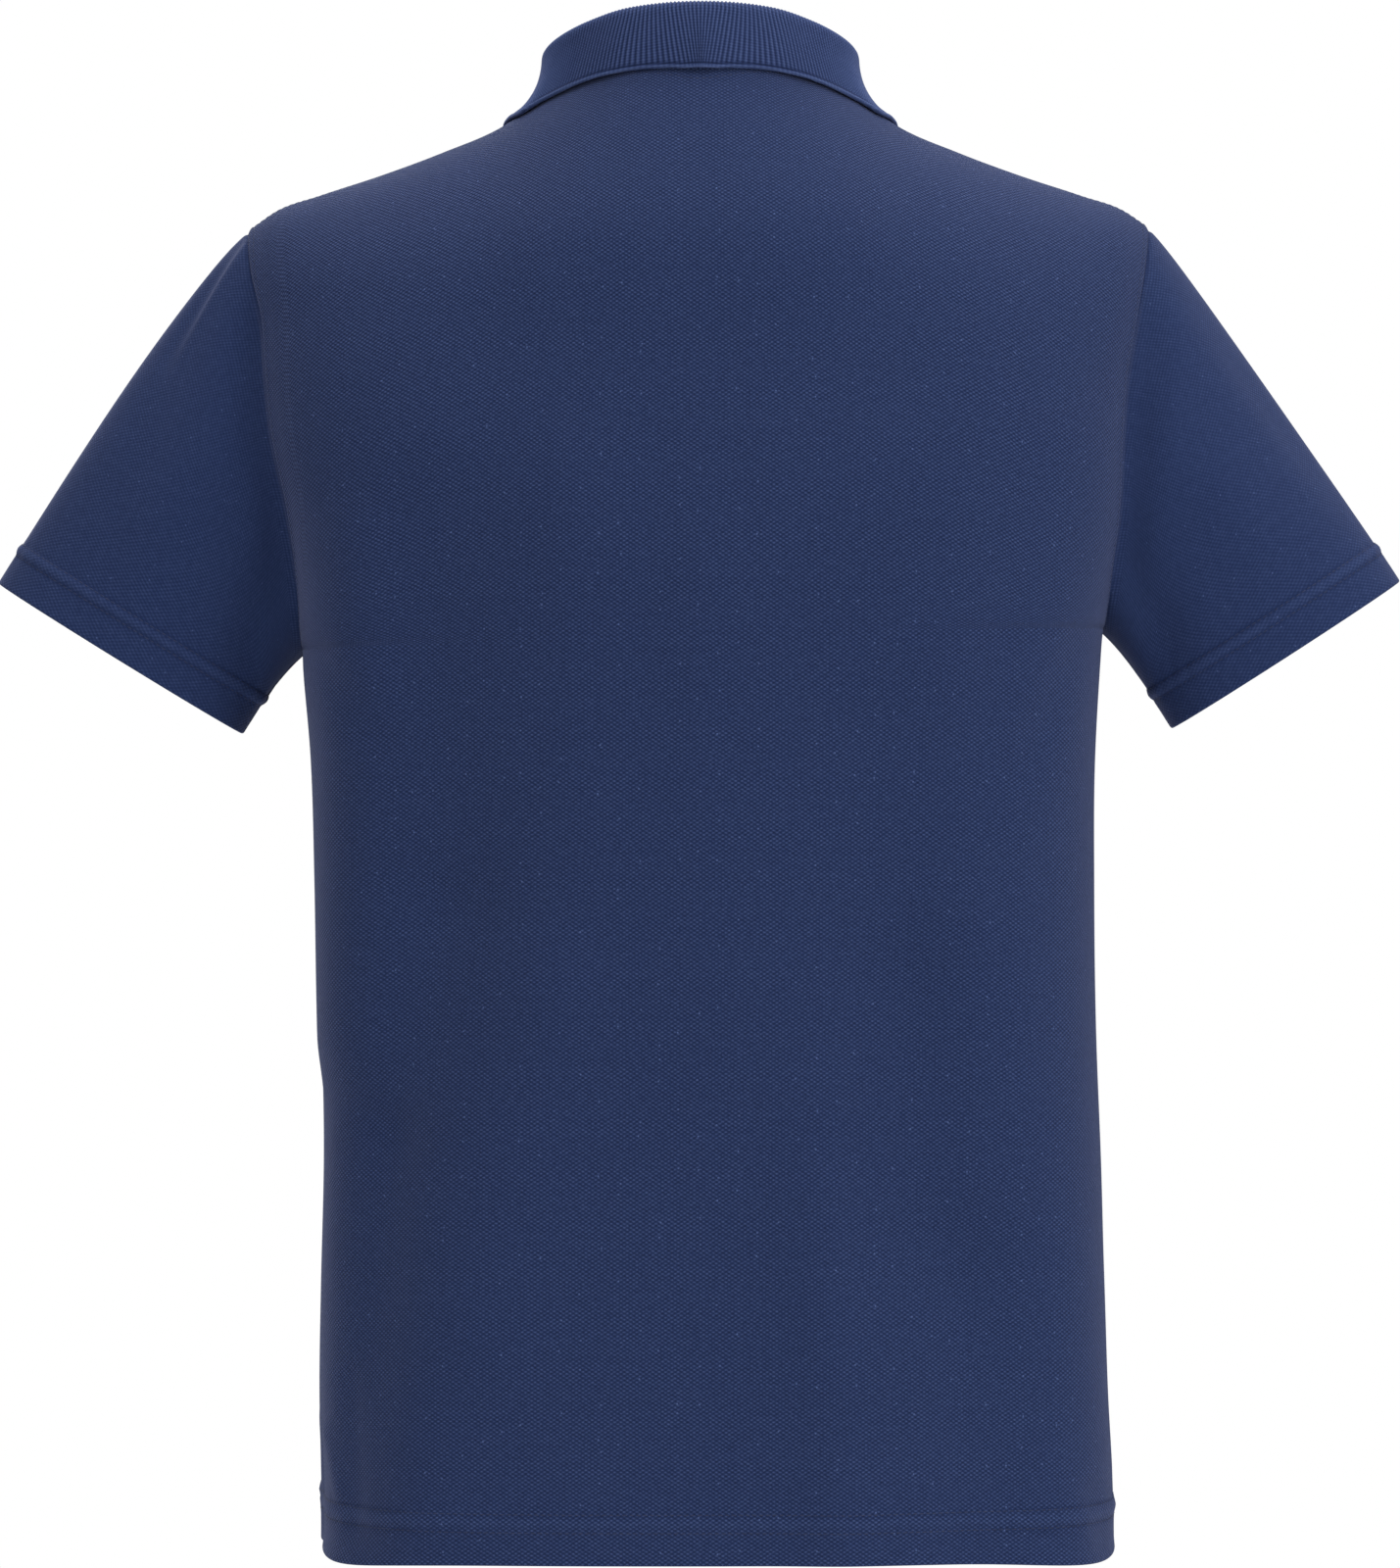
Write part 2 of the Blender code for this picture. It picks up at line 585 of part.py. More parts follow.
class Panel:
    """One piece of cloth: its points, faces and wall."""

    def __init__(self, grid, closed=False, keep=None):
        rows, columns = grid.shape[:2]
        quads = grid_quads(rows, columns, closed, keep)
        used = sorted({i for quad in quads for i in quad})
        place = {old: new for new, old in enumerate(used)}
        self.points = grid.reshape(-1, 3)[used]
        self.quads = [tuple(place[i] for i in quad) for quad in quads]
        self.source = [divmod(i, columns) for i in used]
        self.normals = self.face_normals()
        self.mitre = np.ones(len(self.points))
        self.lean = np.ones(len(self.points))
        self.extra_inside = np.zeros(len(self.points))

    def face_normals(self):
        normals = np.zeros_like(self.points)
        for quad in self.quads:
            a, b, c, d = self.points[list(quad)]
            normal = unit(np.cross(c - a, d - b))
            for i in quad:
                normals[i] += normal
        return unit(normals)

    def edge_runs(self):
        """Boundary edges, each with the face on its left."""
        runs = {(q[i], q[(i + 1) % 4]) for q in self.quads for i in range(4)}
        return [(a, b) for a, b in runs if (b, a) not in runs]

    def drawn_back(self, own_normals):
        """How far each edge point moves into the panel to leave half a seam gap."""
        ways = {}
        for a, b in self.edge_runs():
            along = unit(self.points[b] - self.points[a])
            for i in (a, b):
                ways.setdefault(i, []).append(unit(np.cross(own_normals[i], along)))
        shift = np.zeros_like(self.points)
        for i, (one, two) in ways.items():
            mitre = (one + two) / max(1 + float(one @ two), SHARPEST_CORNER)
            shift[i] = mitre * SEAM_GAP / 2 / max(self.lean[i], LEAST_LEAN)
        return shift


def join_seams(panels):
    """Give points that panels share one normal, so that their walls meet in a mitre."""
    own = [panel.normals.copy() for panel in panels]
    shared = {}
    for number, panel in enumerate(panels):
        for i, point in enumerate(panel.points):
            shared.setdefault(tuple(np.round(point / SAME_POINT).astype(int)), []).append((number, i))
    for places in shared.values():
        if len(places) < 2:
            continue
        mean = unit(sum(own[number][i] for number, i in places))
        for number, i in places:
            panels[number].normals[i] = mean
            lean = float(mean @ own[number][i])
            panels[number].lean[i] = lean
            panels[number].mitre[i] = max(lean, SHARPEST_MITRE)
    return own


def wall_mesh(panel, own_normals, cloth):
    """A closed wall round a panel's points. Its rim is split the same way from both sides of a
    seam, so that two twisted rims lie side by side."""
    middle = panel.points + panel.drawn_back(own_normals)
    half = cloth / 2 / panel.mitre
    outer = middle + panel.normals * half[:, None]
    inner = middle - panel.normals * (half + panel.extra_inside)[:, None]
    count = len(middle)
    faces = list(panel.quads)
    faces += [tuple(i + count for i in reversed(quad)) for quad in panel.quads]
    for a, b in panel.edge_runs():
        if tuple(panel.points[a]) < tuple(panel.points[b]):
            faces += [(b, a, b + count), (a, a + count, b + count)]
        else:
            faces += [(b, a, a + count), (b, a + count, b + count)]
    return np.concatenate((outer, inner)), faces


# ---- Blender objects ----
def make_material(name, colour, roughness):
    material = bpy.data.materials.new(name)
    material.use_nodes = True
    shader = material.node_tree.nodes["Principled BSDF"]
    shader.inputs["Base Color"].default_value = colour
    shader.inputs["Roughness"].default_value = roughness
    shader.inputs["Metallic"].default_value = 0.0
    return material


def make_object(name, points, faces, material):
    mesh = bpy.data.meshes.new(name)
    mesh.from_pydata([tuple(p) for p in points], [], faces)
    mesh.materials.append(material)
    mesh.validate()
    mesh.shade_smooth()
    mesh.set_sharp_from_angle(angle=SMOOTH_BELOW)
    made = bpy.data.objects.new(name, mesh)
    bpy.context.scene.collection.objects.link(made)


# ---- the pieces ----
def in_slit(row, column):
    first = NECK_COLUMNS + SHOULDER_COLUMNS
    return row >= UNDERARM_ROW + PLACKET_FIRST_ROW and first <= column <= first + 1


def thicken_hem(panel, rows):
    for i, (row, __) in enumerate(panel.source):
        if row in rows:
            panel.extra_inside[i] = TURN_UP


def make_panels():
    """The back, the front, the button band in the front's slit and the sleeves, joined."""
    back_points = add_body_folds(body_grid(BACK), BACK)
    front_points = add_body_folds(body_grid(FRONT), FRONT)
    panels = {
        "back": Panel(back_points),
        "front": Panel(front_points, keep=lambda r, c: not in_slit(r, c)),
        "placket_under": Panel(front_points, keep=in_slit),
    }
    for side in ("left", "right"):
        ring = armhole_ring(side, back_points, front_points)
        panels["sleeve_" + side] = Panel(sleeve_grid(side, ring), closed=True)
    for name in ("back", "front"):
        thicken_hem(panels[name], (0, 1))
    for side in ("left", "right"):
        thicken_hem(panels["sleeve_" + side], (SLEEVE_ROWS + 1, SLEEVE_ROWS + 2))
    return panels, front_points


def neck_joint(panels, own):
    """Turn the normals along the neckline half way toward the collar's stand, and give them back
    by the turn round the neck."""
    found = {}
    for corner in neck_corner_turns():
        for turn in sorted({corner, -corner}):
            corner_point = neck_point(turn)
            angle = math.radians(turn)
            stand_out = np.array((math.sin(angle), math.cos(angle), 0.0))
            holders = []
            for number, panel in enumerate(panels.values()):
                away = np.linalg.norm(panel.points - corner_point, axis=1)
                for i in np.flatnonzero(away < SAME_POINT):
                    holders.append((number, panel, i))
            body = unit(sum(own[number][i] for number, __, i in holders))
            mean = unit(body + stand_out)
            mitre = max(float(mean @ body), SHARPEST_MITRE)
            for __, panel, i in holders:
                panel.normals[i] = mean
                panel.mitre[i] = mitre
            found[turn] = (mean, mitre)
    return found


def collar_base(turn, joint):
    """Normal and mitre on the neckline between two of the body's points."""
    known = sorted(joint)
    i = min(max(int(np.searchsorted(known, turn, side="right")) - 1, 0), len(known) - 2)
    part = (turn - known[i]) / (known[i + 1] - known[i])
    (start, start_mitre), (end, end_mitre) = joint[known[i]], joint[known[i + 1]]
    return unit(start + (end - start) * part), start_mitre + (end_mitre - start_mitre) * part


def collar_mesh(joint):
    """The folded collar as a wall: plain on the face between stand and fall, ribbed on the other
    face, with the ribs running across the collar from the neck seam to its plain edge."""
    turns = collar_turns()
    coarse = collar_grid(turns)
    cells = len(turns) - 1
    fine_turns = np.interp(np.arange(cells * RIB_COLUMNS_PER_CELL + 1) / RIB_COLUMNS_PER_CELL,
                           np.arange(cells + 1), turns)
    fine = collar_grid(fine_turns)
    coarse_normals = grid_normals(coarse, closed=False)
    fine_normals = grid_normals(fine, closed=False)
    half = COLLAR_CLOTH / 2
    plain = coarse - coarse_normals * half
    ribbed = fine + fine_normals * half
    ribs = np.where(np.arange(fine.shape[1]) % 2 == 1, RIB_HEIGHT, 0.0)
    ribbed = ribbed + fine_normals * ribs[None, :, None]
    smooth = coarse + coarse_normals * half
    for c, turn in enumerate(turns):
        normal, mitre = collar_base(turn, joint)
        lift = unit(coarse[1, c] - coarse[0, c]) * SEAM_GAP / 2 / mitre
        plain[0, c] = coarse[0, c] + lift + normal * half / mitre
        smooth[0, c] = coarse[0, c] + lift - normal * half / mitre
    rows = coarse.shape[0]
    return plain, smooth, ribbed, rows, cells


def collar_faces(plain, smooth, ribbed, rows, cells):
    """Points and faces of the collar's wall. Its ribbed face has fine columns between two coarse
    rows of points, at the neck seam and at the free edge."""
    columns = cells + 1
    fine_columns = cells * RIB_COLUMNS_PER_CELL + 1
    points = [plain.reshape(-1, 3), smooth[0], smooth[-1], ribbed[1:-1].reshape(-1, 3)]
    low = plain.shape[0] * columns
    high = low + columns
    fine_start = high + columns
    faces = []

    def fine(row, column):
        return fine_start + (row - 1) * fine_columns + column

    for r in range(rows - 1):
        for c in range(cells):
            a = r * columns + c
            faces.append((a + 1, a, a + columns, a + columns + 1))
    for r in range(1, rows - 2):
        for c in range(fine_columns - 1):
            faces.append((fine(r, c), fine(r, c + 1), fine(r + 1, c + 1), fine(r + 1, c)))
    middle = RIB_COLUMNS_PER_CELL // 2
    for c in range(cells):
        first = c * RIB_COLUMNS_PER_CELL
        for i in range(RIB_COLUMNS_PER_CELL):
            near = c if i < middle else c + 1
            faces.append((low + near, fine(1, first + i + 1), fine(1, first + i)))
            faces.append((high + near, fine(rows - 2, first + i), fine(rows - 2, first + i + 1)))
        faces.append((low + c, low + c + 1, fine(1, first + middle)))
        faces.append((high + c + 1, high + c, fine(rows - 2, first + middle)))
        faces.append((c, c + 1, low + c + 1, low + c))
        top = (rows - 1) * columns + c
        faces.append((top + 1, top, high + c, high + c + 1))
    for column, fine_column, turn_round in ((0, 0, False), (cells, fine_columns - 1, True)):
        face_side = [low + column] + [fine(r, fine_column) for r in range(1, rows - 1)]
        face_side.append(high + column)
        plain_side = [r * columns + column for r in range(rows)]
        for r in range(rows - 1):
            quad = (plain_side[r], face_side[r], face_side[r + 1], plain_side[r + 1])
            faces.append(quad[::-1] if turn_round else quad)
    return np.concatenate(points), faces


def make_collar(joint, material):
    plain, smooth, ribbed, rows, cells = collar_mesh(joint)
    points, faces = collar_faces(plain, smooth, ribbed, rows, cells)
    make_object("collar", points, faces, material)


def front_at(x, row, front_points):
    """Point of the front's grid line `row` at x, for x near the middle."""
    line = front_points[row]
    return np.array([np.interp(x, line[:, 0], line[:, k]) for k in range(3)])


def make_placket_top(front_points, material):
    """The band over the slit, made from the front's points, moved out."""
    half = PLACKET_HALF + PLACKET_OVERLAP
    first = UNDERARM_ROW + PLACKET_FIRST_ROW
    last = front_points.shape[0] - 1
    across = (-half, -PLACKET_HALF / 2, 0.0, PLACKET_HALF / 2, half)
    rows = [[front_at(x, r, front_points) for x in across] for r in range(first - 1, last + 1)]
    grid = np.array(rows)
    grid[0] = grid[1] + (grid[0] - grid[1]) * PLACKET_FOOT
    grid[-1] += unit(grid[-2] - grid[-1]) * PLACKET_NECK_GAP
    panel = Panel(grid)
    panel.points = panel.points + panel.normals * (CLOTH + LAY_GAP)
    points, faces = wall_mesh(panel, panel.normals.copy(), CLOTH)
    make_object("placket_top", points, faces, material)


def button_mesh(material):
    """A turned button with a raised rim, its seat on the origin and its face toward +Z."""
    turned = bmesh.new()
    line = [turned.verts.new((out * BUTTON_RADIUS, 0.0, up * BUTTON_HEIGHT))
            for out, up in BUTTON_PROFILE]
    edges = [turned.edges.new(pair) for pair in zip(line[:-1], line[1:])]
    bmesh.ops.spin(turned, geom=line + edges, cent=(0.0, 0.0, 0.0), axis=(0.0, 0.0, 1.0),
                   angle=2 * math.pi, steps=BUTTON_SIDES)
    bmesh.ops.remove_doubles(turned, verts=turned.verts, dist=SAME_POINT)
    bmesh.ops.recalc_face_normals(turned, faces=turned.faces)
    mesh = bpy.data.meshes.new("button")
    turned.to_mesh(mesh)
    turned.free()
    mesh.materials.append(material)
    mesh.shade_smooth()
    mesh.set_sharp_from_angle(angle=SMOOTH_BELOW)
    return mesh


def place_button(name, mesh, drop, front_points):
    """Seat a button on the top band, this far below the front of the neck."""
    level = float(top_line(FRONT, np.array(0.0))[1]) - drop
    line = front_points[:, NECK_COLUMNS + SHOULDER_COLUMNS + 1]
    row = int(np.searchsorted(line[:, 2], level)) - 1
    low, high = line[row], line[row + 1]
    seat = low + (high - low) * (level - low[2]) / (high[2] - low[2])
    run = unit(high - low)
    out = Vector((0.0, -run[2], run[1]))
    button = bpy.data.objects.new(name, mesh)
    button.location = Vector(seat) + out * (1.5 * CLOTH + LAY_GAP + SEAM_GAP)
    button.rotation_euler = out.to_track_quat("Z", "X").to_euler()
    bpy.context.scene.collection.objects.link(button)


def main():
    for old in list(bpy.data.objects):
        bpy.data.objects.remove(old, do_unlink=True)
    pique = make_material("navy_pique", NAVY_PIQUE, PIQUE_ROUGHNESS)
    rib = make_material("navy_rib", NAVY_RIB, RIB_ROUGHNESS)
    plastic = make_material("navy_plastic", NAVY_PLASTIC, PLASTIC_ROUGHNESS)
    panels, front_points = make_panels()
    own = join_seams(list(panels.values()))
    joint = neck_joint(panels, own)
    for (name, panel), own_normals in zip(panels.items(), own):
        points, faces = wall_mesh(panel, own_normals, CLOTH)
        make_object(name, points, faces, pique)
    make_placket_top(front_points, pique)
    make_collar(joint, rib)
    turned_button = button_mesh(plastic)
    for number, drop in enumerate(BUTTON_DROPS, start=1):
        place_button(f"button_{number}", turned_button, drop, front_points)


main()
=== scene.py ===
# %% [markdown]
# # A polo shirt in navy pique
#
# A polo shirt is a few flat pieces of knitted cotton, sewn into a form that a body fills. This
# lesson rebuilds each piece as a thin shell on the form that the frame's solids have, then adds
# what makes cloth look like cloth: rolled seams, turned hems, creases, stitches, ribs and the
# knit itself. The first cell loads the frame, which is never moved.

# %% Load the frame
import math

import bmesh
import bpy
import numpy as np
from mathutils import Matrix, Vector


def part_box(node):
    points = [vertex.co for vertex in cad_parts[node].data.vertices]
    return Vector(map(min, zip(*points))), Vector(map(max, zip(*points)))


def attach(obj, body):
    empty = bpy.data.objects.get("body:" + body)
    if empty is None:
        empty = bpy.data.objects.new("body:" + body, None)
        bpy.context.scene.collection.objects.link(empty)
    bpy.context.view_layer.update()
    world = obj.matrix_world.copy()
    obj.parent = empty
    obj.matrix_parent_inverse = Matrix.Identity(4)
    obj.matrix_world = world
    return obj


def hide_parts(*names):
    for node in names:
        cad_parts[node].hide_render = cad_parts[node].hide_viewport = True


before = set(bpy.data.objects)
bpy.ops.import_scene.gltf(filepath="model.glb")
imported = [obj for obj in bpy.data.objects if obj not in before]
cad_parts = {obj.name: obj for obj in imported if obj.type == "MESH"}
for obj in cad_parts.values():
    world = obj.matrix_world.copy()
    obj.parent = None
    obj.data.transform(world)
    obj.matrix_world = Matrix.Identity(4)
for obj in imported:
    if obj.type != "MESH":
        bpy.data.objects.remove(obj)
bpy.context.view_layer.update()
print("frame nodes:", ", ".join(sorted(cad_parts)))

# %% [markdown]
# ## The room
#
# The shirt is seen from behind, straight on, from far enough away that its sides hardly
# converge. A long lens on a level camera does that. The light is a plain soft studio: two wide
# lamps above brighten the shoulders, two beside the camera fill the back, one high at each side
# draws a pale edge along the sleeves, and one lights the front, all in a pale surround. The
# first helpers are here too, because everything that follows needs them.

# %% Helpers for colours, objects and materials
def srgb(code):
    """A hex colour such as 2f3a5a as linear red, green, blue and alpha."""
    parts = [int(code[i:i + 2], 16) / 255 for i in (0, 2, 4)]
    return tuple(p / 12.92 if p <= 0.04045 else ((p + 0.055) / 1.055) ** 2.4 for p in parts) + (1.0,)


def link(thing):
    bpy.context.scene.collection.objects.link(thing)
    return thing


def object_from(form, name):
    """Turn a bmesh into an object of the scene, and free it."""
    mesh = bpy.data.meshes.new(name)
    form.to_mesh(mesh)
    form.free()
    return link(bpy.data.objects.new(name, mesh))


def new_material(name, finish):
    """A material, its tree, and its shader with the values that finish gives by name."""
    material = bpy.data.materials.new(name)
    material.use_nodes = True
    shader = material.node_tree.nodes["Principled BSDF"]
    for key, value in finish.items():
        shader.inputs[key].default_value = value
    return material, material.node_tree, shader


print("half of a screen's brightness is", round(srgb("808080")[0], 3), "in linear light")

# %% Camera
CAMERA_DISTANCE = 3.2
CAMERA_SIDE = 0.0002
CAMERA_LEVEL = -0.3125
PICTURE_HEIGHT = 0.7408        # what the picture's long side takes in at the shirt, in metres
SENSOR = 36.0


def add_camera():
    lens = bpy.data.cameras.new("camera")
    lens.sensor_width = SENSOR
    lens.lens = SENSOR * CAMERA_DISTANCE / PICTURE_HEIGHT
    camera = link(bpy.data.objects.new("camera", lens))
    camera.location = (CAMERA_SIDE, CAMERA_DISTANCE, CAMERA_LEVEL)
    camera.rotation_euler = (math.radians(90), 0.0, math.radians(180))
    bpy.context.scene.camera = camera
    return lens.lens


focal_length = add_camera()
print(f"a {focal_length:.0f} mm lens, {CAMERA_DISTANCE} m behind the shirt")

# %% Lamps and surround
# name, place, aim, width, height and watts
LAMPS = (
    ("lamp_above", (-0.1, 1.3, 2.1), (0.0, 0.0, -0.1), 1.8, 1.2, 23),
    ("lamp_above_front", (0.0, -0.4, 2.2), (0.0, 0.0, -0.1), 2.4, 1.4, 42),
    ("lamp_camera_right", (-1.8, 1.7, 0.3), (0.0, 0.0, -0.35), 1.2, 1.6, 30),
    ("lamp_camera", (0.9, 3.1, 0.3), (0.0, 0.0, -0.35), 1.6, 1.6, 24),
    ("lamp_right_edge", (-2.1, 0.3, 1.8), (0.0, 0.0, -0.10), 1.4, 1.4, 19),
    ("lamp_left_edge", (2.1, 0.3, 1.8), (0.0, 0.0, -0.10), 1.4, 1.4, 19),
    ("lamp_front", (0.6, -3.0, 1.0), (0.0, 0.0, -0.3), 2.0, 2.0, 44),
)


def add_softbox(name, place, aim, width, height, watts):
    light = bpy.data.lights.new(name, "AREA")
    light.shape = "RECTANGLE"
    light.size = width
    light.size_y = height
    light.energy = watts
    box = link(bpy.data.objects.new(name, light))
    box.location = place
    box.rotation_euler = (Vector(aim) - Vector(place)).to_track_quat("-Z", "Y").to_euler()


def add_surround(seen, felt):
    """A pale surround: how bright the camera sees it, and how much light it gives."""
    world = bpy.data.worlds.new("surround")
    bpy.context.scene.world = world
    world.use_nodes = True
    nodes, links = world.node_tree.nodes, world.node_tree.links
    glow = nodes["Background"]
    glow.inputs["Color"].default_value = (1.0, 1.0, 1.0, 1.0)
    rays = nodes.new("ShaderNodeLightPath")
    mix = nodes.new("ShaderNodeMapRange")
    mix.inputs["To Min"].default_value = felt
    mix.inputs["To Max"].default_value = seen
    links.new(rays.outputs["Is Camera Ray"], mix.inputs["Value"])
    links.new(mix.outputs["Result"], glow.inputs["Strength"])


for lamp in LAMPS:
    add_softbox(*lamp)
add_surround(seen=1.0, felt=0.10)
bpy.context.scene.view_settings.view_transform = "Standard"
print(len(LAMPS), "softboxes and a surround")

# %% Floor
FLOOR_LEVEL = -0.96
FLOOR_RADIUS = 2.1
FLOOR_SIDES = 96
# Matt white wall paint: rough, so it takes a soft shadow and mirrors nothing.
PAINT_FINISH = {"Base Color": srgb("f4f4f4"), "Roughness": 0.9}


def add_floor():
    disc = bmesh.new()
    bmesh.ops.create_circle(disc, cap_ends=True, segments=FLOOR_SIDES, radius=FLOOR_RADIUS)
    floor = object_from(disc, "floor")
    floor.data.transform(Matrix.Translation((0.0, 0.0, FLOOR_LEVEL)))
    floor.data.materials.append(new_material("matt_white_paint", PAINT_FINISH)[0])


add_floor()
print(f"floor {-FLOOR_LEVEL} m under the shoulders")

# %% [markdown]
# ## Sizes
#
# These are the sizes that the solids were made from, so that each shell lies where its solid
# does. The tables are read as smooth curves: half widths and depths by height, and the
# shoulders' ridge by how far out it is. The sleeves, the folds and the collar bring their own
# sizes later.

# %% Cloth and seams
CLOTH = 0.0015                 # thickness of the pique
TURN_UP = 0.0007               # what a turned hem adds inside
COLLAR_CLOTH = 0.0013
LAY_GAP = 0.0005               # between two pieces that lie on each other
HEM_LEVEL = -0.6688
HEM_CORNER_DROP = 0.0035       # the hem hangs lower beside its back corners
HEM_CORNER_POWER = 8
BODY_HEM = 0.027               # depth of the turned hem
SLEEVE_HEM = 0.022
UNDERARM_LEFT = -0.2500
UNDERARM_RIGHT = -0.2400
NECK_HALF_WIDTH = 0.068
NECK_BACK_REACH = 0.065
NECK_FRONT_REACH = 0.069
SEAM_PLACE_AT_NECK = -0.005    # the shoulder seam's place along Y, from the neck outward
SEAM_PLACE_AT_ARM = -0.008
PLACKET_HALF = 0.0165
PLACKET_OVERLAP = 0.0010
SLIT_FOOT = 0.25               # where the slit ends, as a part of the way from underarm to top
ARMHOLE_BACK = 0.049           # how far the armhole bows backward and forward of the side seam
ARMHOLE_FRONT = 0.054
ARMHOLE_ROUND = 0.55
ARMHOLE_POWER = 2.2
BACK, FRONT = 1, -1            # the faces of the body, by their sign along Y
print(f"{CLOTH * 1000} mm pique, hem {-HEM_LEVEL * 1000:.0f} mm under the origin")

# %% Tables read as curves
class Sizes:
    """Rows of sizes under named columns, read as smooth curves along the first column."""

    def __init__(self, columns, rows, level_start=False):
        self.columns = dict(zip(columns, np.array(rows, dtype=float).T))
        self.stations = self.columns[columns[0]]
        self.level_start = level_start

    def at(self, column, where):
        values = self.columns[column]
        slopes = np.gradient(values, self.stations)
        if self.level_start:
            slopes[0] = 0.0
        where = np.asarray(where, dtype=float)
        last = len(self.stations) - 2
        i = np.clip(np.searchsorted(self.stations, where) - 1, 0, last)
        step = self.stations[i + 1] - self.stations[i]
        t = np.clip((where - self.stations[i]) / step, 0.0, 1.0)
        rise = values[i + 1] - values[i]
        bend_in = slopes[i] * step - rise
        bend_out = rise - slopes[i + 1] * step
        return values[i] + rise * t + t * (1 - t) * (bend_in * (1 - t) + bend_out * t)


SIDES = Sizes(
    ("height", "left", "right"),
    ((-0.669, 0.1784, 0.1938),
     (-0.637, 0.1786, 0.1930),
     (-0.600, 0.1793, 0.1911),
     (-0.550, 0.1786, 0.1896),
     (-0.489, 0.1772, 0.1877),
     (-0.430, 0.1780, 0.1855),
     (-0.360, 0.1796, 0.1846),
     (-0.300, 0.1818, 0.1850),
     (-0.250, 0.1865, 0.1880),
     (-0.215, 0.1882, 0.1915),
     (-0.185, 0.1922, 0.1950),
     (-0.150, 0.1995, 0.1966),
     (-0.122, 0.2028, 0.1990),
     (-0.095, 0.2052, 0.2040),
     (-0.072, 0.2110, 0.2085),
     (-0.052, 0.2140, 0.2118)))

DEPTHS = Sizes(
    ("height", "back", "front", "square"),
    ((-0.668, 0.1160, 0.1320, 3.6),
     (-0.550, 0.1120, 0.1350, 3.3),
     (-0.450, 0.1090, 0.1360, 3.1),
     (-0.350, 0.1100, 0.1345, 3.0),
     (-0.250, 0.1165, 0.1310, 3.0),
     (-0.150, 0.1235, 0.1310, 2.8),
     (-0.050, 0.1260, 0.1300, 2.6),
     (0.020, 0.1260, 0.1300, 2.6)))

RIDGE = Sizes(
    ("out", "level", "round_back", "round_front"),
    ((0.000, 0.0560, 2.05, 1.36),
     (0.030, 0.0460, 2.10, 1.42),
     (0.050, 0.0310, 2.15, 1.55),
     (0.068, 0.0160, 2.20, 1.72),
     (0.092, -0.0020, 2.25, 1.95),
     (0.121, -0.0148, 2.30, 2.15),
     (0.150, -0.0255, 2.30, 2.25),
     (0.180, -0.0352, 2.30, 2.30),
     (0.200, -0.0422, 2.30, 2.30),
     (0.214, -0.0520, 2.30, 2.30)), level_start=True)

chest = float(SIDES.at("left", UNDERARM_LEFT) + SIDES.at("right", UNDERARM_RIGHT))
print(f"{chest * 1000:.0f} mm across the chest")

# %% [markdown]
# ## The form of the body
#
# Across, the body is a rounded rectangle whose half width and depth come from the tables. Over
# the shoulders it turns in toward a ridge, where front and back are sewn together. The neckline
# is an ellipse seen from above, laid on that form.

# %% Form functions
SMALLEST = 1e-12               # keeps an empty vector from dividing by nothing
SETTLING_ROUNDS = 8            # the top's height depends on its depth, and the other way round


def smooth_step(t):
    t = np.clip(t, 0.0, 1.0)
    return t * t * (3 - 2 * t)


def bell(distance, middle, width):
    return np.exp(-((distance - middle) / width) ** 2)


def unit(vectors):
    length = np.linalg.norm(vectors, axis=-1, keepdims=True)
    return vectors / np.maximum(length, SMALLEST)


def face_name(face):
    return "back" if face == BACK else "front"


def half_width(x, z):
    return np.where(x >= 0, SIDES.at("left", z), SIDES.at("right", z))


def underarm_across(across):
    """Height of the underarms' line, from -1 at the right side to 1 at the left one."""
    return UNDERARM_RIGHT + (UNDERARM_LEFT - UNDERARM_RIGHT) * (1 + across) / 2


def underarm_level(x, z):
    return underarm_across(np.clip(x / half_width(x, z), -1.0, 1.0))


def ridge_place(x):
    out = np.abs(x) / RIDGE.stations[-1]
    return SEAM_PLACE_AT_NECK + (SEAM_PLACE_AT_ARM - SEAM_PLACE_AT_NECK) * out


def body_slab(face, x, z):
    """Depth of the body at x and height z, before it turns in over the shoulders."""
    deep = DEPTHS.at(face_name(face), z)
    square = DEPTHS.at("square", z)
    under = underarm_level(x, z)
    arm_rise = (z - under) / (RIDGE.columns["level"][-1] - under)
    quarter = 1 - (1 - np.clip(arm_rise / ARMHOLE_ROUND, 0.0, 1.0)) ** ARMHOLE_POWER
    edge = (ARMHOLE_BACK if face == BACK else ARMHOLE_FRONT) * quarter ** (1 / ARMHOLE_POWER)
    full_width = half_width(x, z) / (1 - (edge / deep) ** square) ** (1 / square)
    across = np.clip(np.abs(x) / full_width, 0.0, 1.0)
    return face * deep * (1 - across ** square) ** (1 / square)


def roundness(face, x):
    return RIDGE.at("round_" + face_name(face), np.abs(x))


def body_depth(face, x, z):
    """Place along Y of the cloth's middle at x and height z."""
    under = underarm_level(x, z)
    power = roundness(face, x)
    rise = np.clip((z - under) / (RIDGE.at("level", np.abs(x)) - under), 0.0, 1.0)
    seam = ridge_place(x)
    return seam + (body_slab(face, x, z) - seam) * (1 - rise ** power) ** (1 / power)


